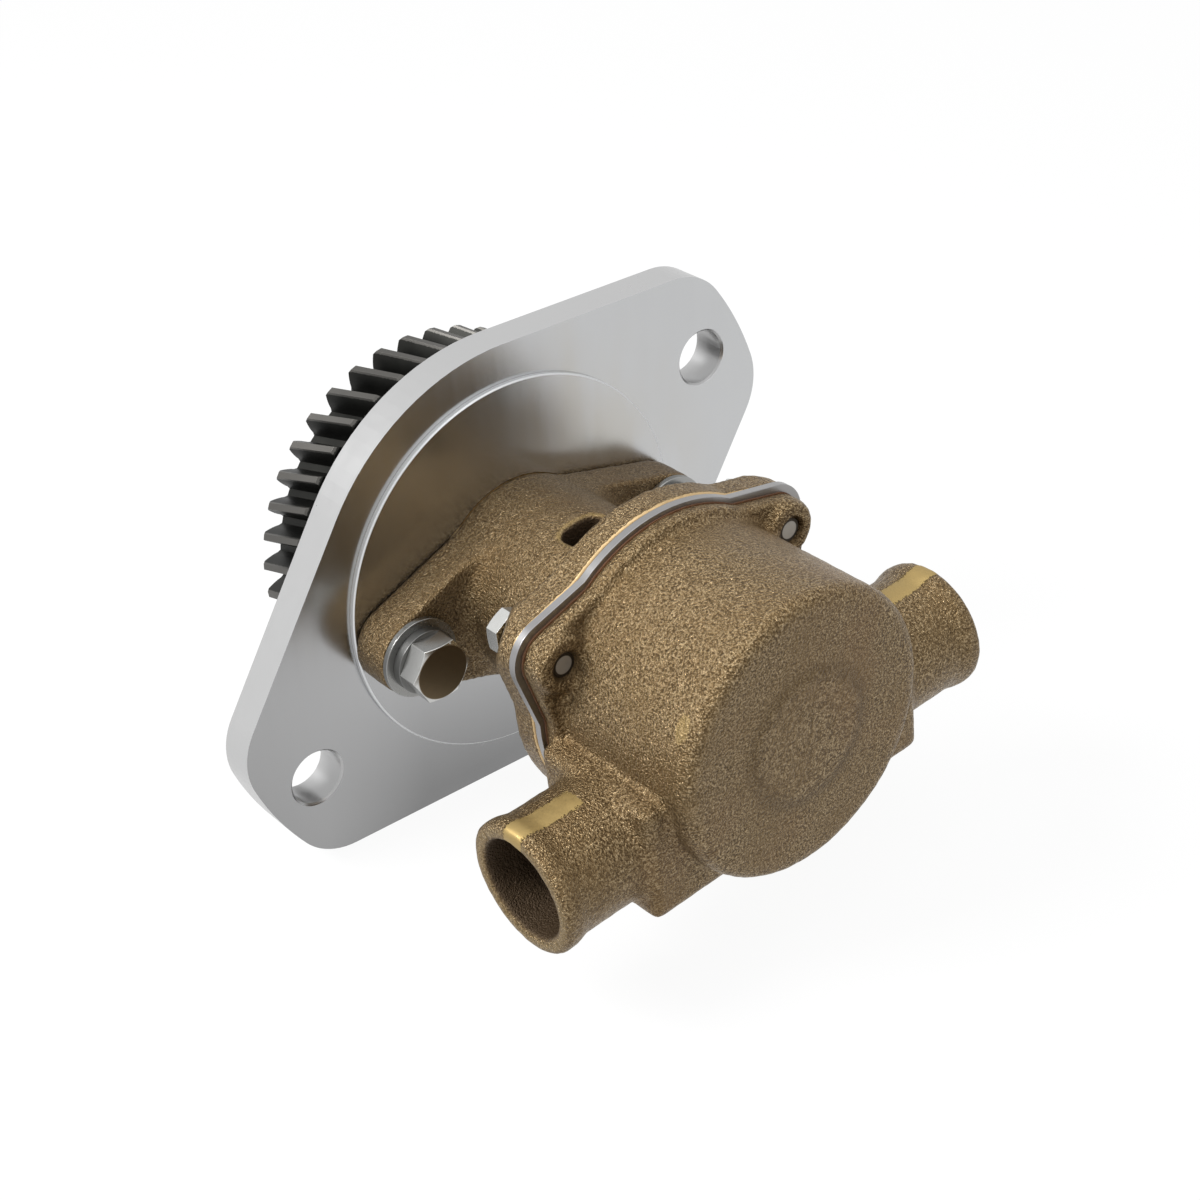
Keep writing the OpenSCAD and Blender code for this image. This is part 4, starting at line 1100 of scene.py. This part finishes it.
@dataclass
class Studio:
    """Floor, light and camera."""

    floor_z: float = -61.5 * MM
    floor_reach: float = 4.0
    floor_paint: Colour = (0.72, 0.72, 0.72)
    floor_rough: float = 0.9
    floor_glow: float = 1.04
    glow_share: float = 0.9
    room: Colour = (0.80, 0.81, 0.82)
    room_strength: float = 0.50
    upper_left: Lamp = Lamp("upper_left", (-0.72, 0.22, 0.74), 0.40, 12.0)
    overhead: Lamp = Lamp("overhead", (0.05, -0.25, 1.0), 0.7, 2.5)
    lit_place: Place = (0.0, -0.04, 0.0)
    camera_place: Place = (-285.1 * MM, -391.3 * MM, 280.5 * MM)
    right: Place = (0.7626, -0.6462, -0.0285)
    down: Place = (-0.3573, -0.3840, -0.8514)
    forward: Place = (0.5393, 0.6595, -0.5237)
    lens: float = 65.88
    sensor_width: float = 36.0
    nearest: float = 0.01
    farthest: float = 20.0

    @staticmethod
    def _seen(tree: bpy.types.NodeTree) -> bpy.types.NodeSocket:
        """Tells the rays that see the white background from those that only light the pump.

        Args:
            tree: The node tree of the floor or of the world.

        Returns:
            1 for rays from the camera, from metal and from glass, 0 for the rest.
        """
        path = tree.nodes.new("ShaderNodeLightPath")
        seen = path.outputs["Is Camera Ray"]
        for name in ("Is Glossy Ray", "Is Transmission Ray"):
            either = tree.nodes.new("ShaderNodeMath")
            either.operation = "MAXIMUM"
            tree.links.new(seen, either.inputs[0])
            tree.links.new(path.outputs[name], either.inputs[1])
            seen = either.outputs[0]
        return seen

    def _white(self) -> bpy.types.Material:
        """Returns the floor's paint: white to the camera, with a faint shadow."""
        r = Recipe("white_floor")
        r.dress(base_color=self.floor_paint, roughness=self.floor_rough)
        paint_shader = Socket(r, r.shader.outputs[0])
        glow = r.node("ShaderNodeEmission", None, {"Color": WHITE, "Strength": self.floor_glow})
        share = Socket(r, self._seen(r.tree)) * self.glow_share
        mixed = r.node("ShaderNodeMixShader", None, {0: share, 1: paint_shader, 2: glow})
        output = next(n for n in r.tree.nodes if n.type == "OUTPUT_MATERIAL")
        r.tree.links.new(mixed.socket, output.inputs["Surface"])
        return r.material

    def _floor(self) -> None:
        """Lays the floor."""
        mesh = bpy.data.meshes.new("floor")
        work = bmesh.new()
        bmesh.ops.create_grid(work, x_segments=1, y_segments=1, size=self.floor_reach)
        bmesh.ops.translate(work, verts=work.verts, vec=Vector((0.0, 0.0, self.floor_z)))
        work.to_mesh(mesh)
        work.free()
        floor = bpy.data.objects.new("floor", mesh)
        bpy.context.scene.collection.objects.link(floor)
        mesh.materials.append(self._white())

    def _hang(self, lamp: Lamp) -> None:
        """Hangs a lamp and points it at the pump.

        Args:
            lamp: The lamp.
        """
        data = bpy.data.lights.new(lamp.name, "AREA")
        data.size = lamp.size
        data.energy = lamp.power
        hung = bpy.data.objects.new(lamp.name, data)
        place = Vector(lamp.place)
        turn = (Vector(self.lit_place) - place).to_track_quat("-Z", "Y")
        hung.matrix_world = Matrix.Translation(place) @ turn.to_matrix().to_4x4()
        bpy.context.scene.collection.objects.link(hung)

    def _world(self) -> None:
        """Fills the room with even light, white to the camera."""
        world = bpy.data.worlds.new("room")
        bpy.context.scene.world = world
        world.use_nodes = True
        tree = world.node_tree
        tree.nodes.clear()
        even = tree.nodes.new("ShaderNodeBackground")
        even.inputs["Color"].default_value = (*self.room, 1.0)
        even.inputs["Strength"].default_value = self.room_strength
        white = tree.nodes.new("ShaderNodeBackground")
        white.inputs["Color"].default_value = (*WHITE, 1.0)
        mix = tree.nodes.new("ShaderNodeMixShader")
        output = tree.nodes.new("ShaderNodeOutputWorld")
        tree.links.new(self._seen(tree), mix.inputs[0])
        tree.links.new(even.outputs[0], mix.inputs[1])
        tree.links.new(white.outputs[0], mix.inputs[2])
        tree.links.new(mix.outputs[0], output.inputs["Surface"])

    def _camera(self) -> None:
        """Puts the camera where the photograph was taken from."""
        data = bpy.data.cameras.new("camera")
        data.sensor_width = self.sensor_width
        data.lens = self.lens
        data.clip_start = self.nearest
        data.clip_end = self.farthest
        camera = bpy.data.objects.new("camera", data)
        columns = (Vector(self.right), -Vector(self.down), -Vector(self.forward))
        turned = Matrix(columns).transposed().to_4x4()
        camera.matrix_world = Matrix.Translation(Vector(self.camera_place)) @ turned
        bpy.context.scene.collection.objects.link(camera)
        bpy.context.scene.camera = camera

    def build(self) -> None:
        """Sets up the whole studio."""
        self._camera()
        self._floor()
        self._world()
        self._hang(self.upper_left)
        self._hang(self.overhead)
        bpy.context.scene.view_settings.view_transform = "Standard"


def main() -> None:
    """Builds the pump's looks in order."""
    logging.basicConfig(level=logging.INFO, format="%(message)s")
    Studio().build()
    EngineFlange().build()
    PumpEnd().build()
    DriveLine().build()


if __name__ == "__main__":
    main()
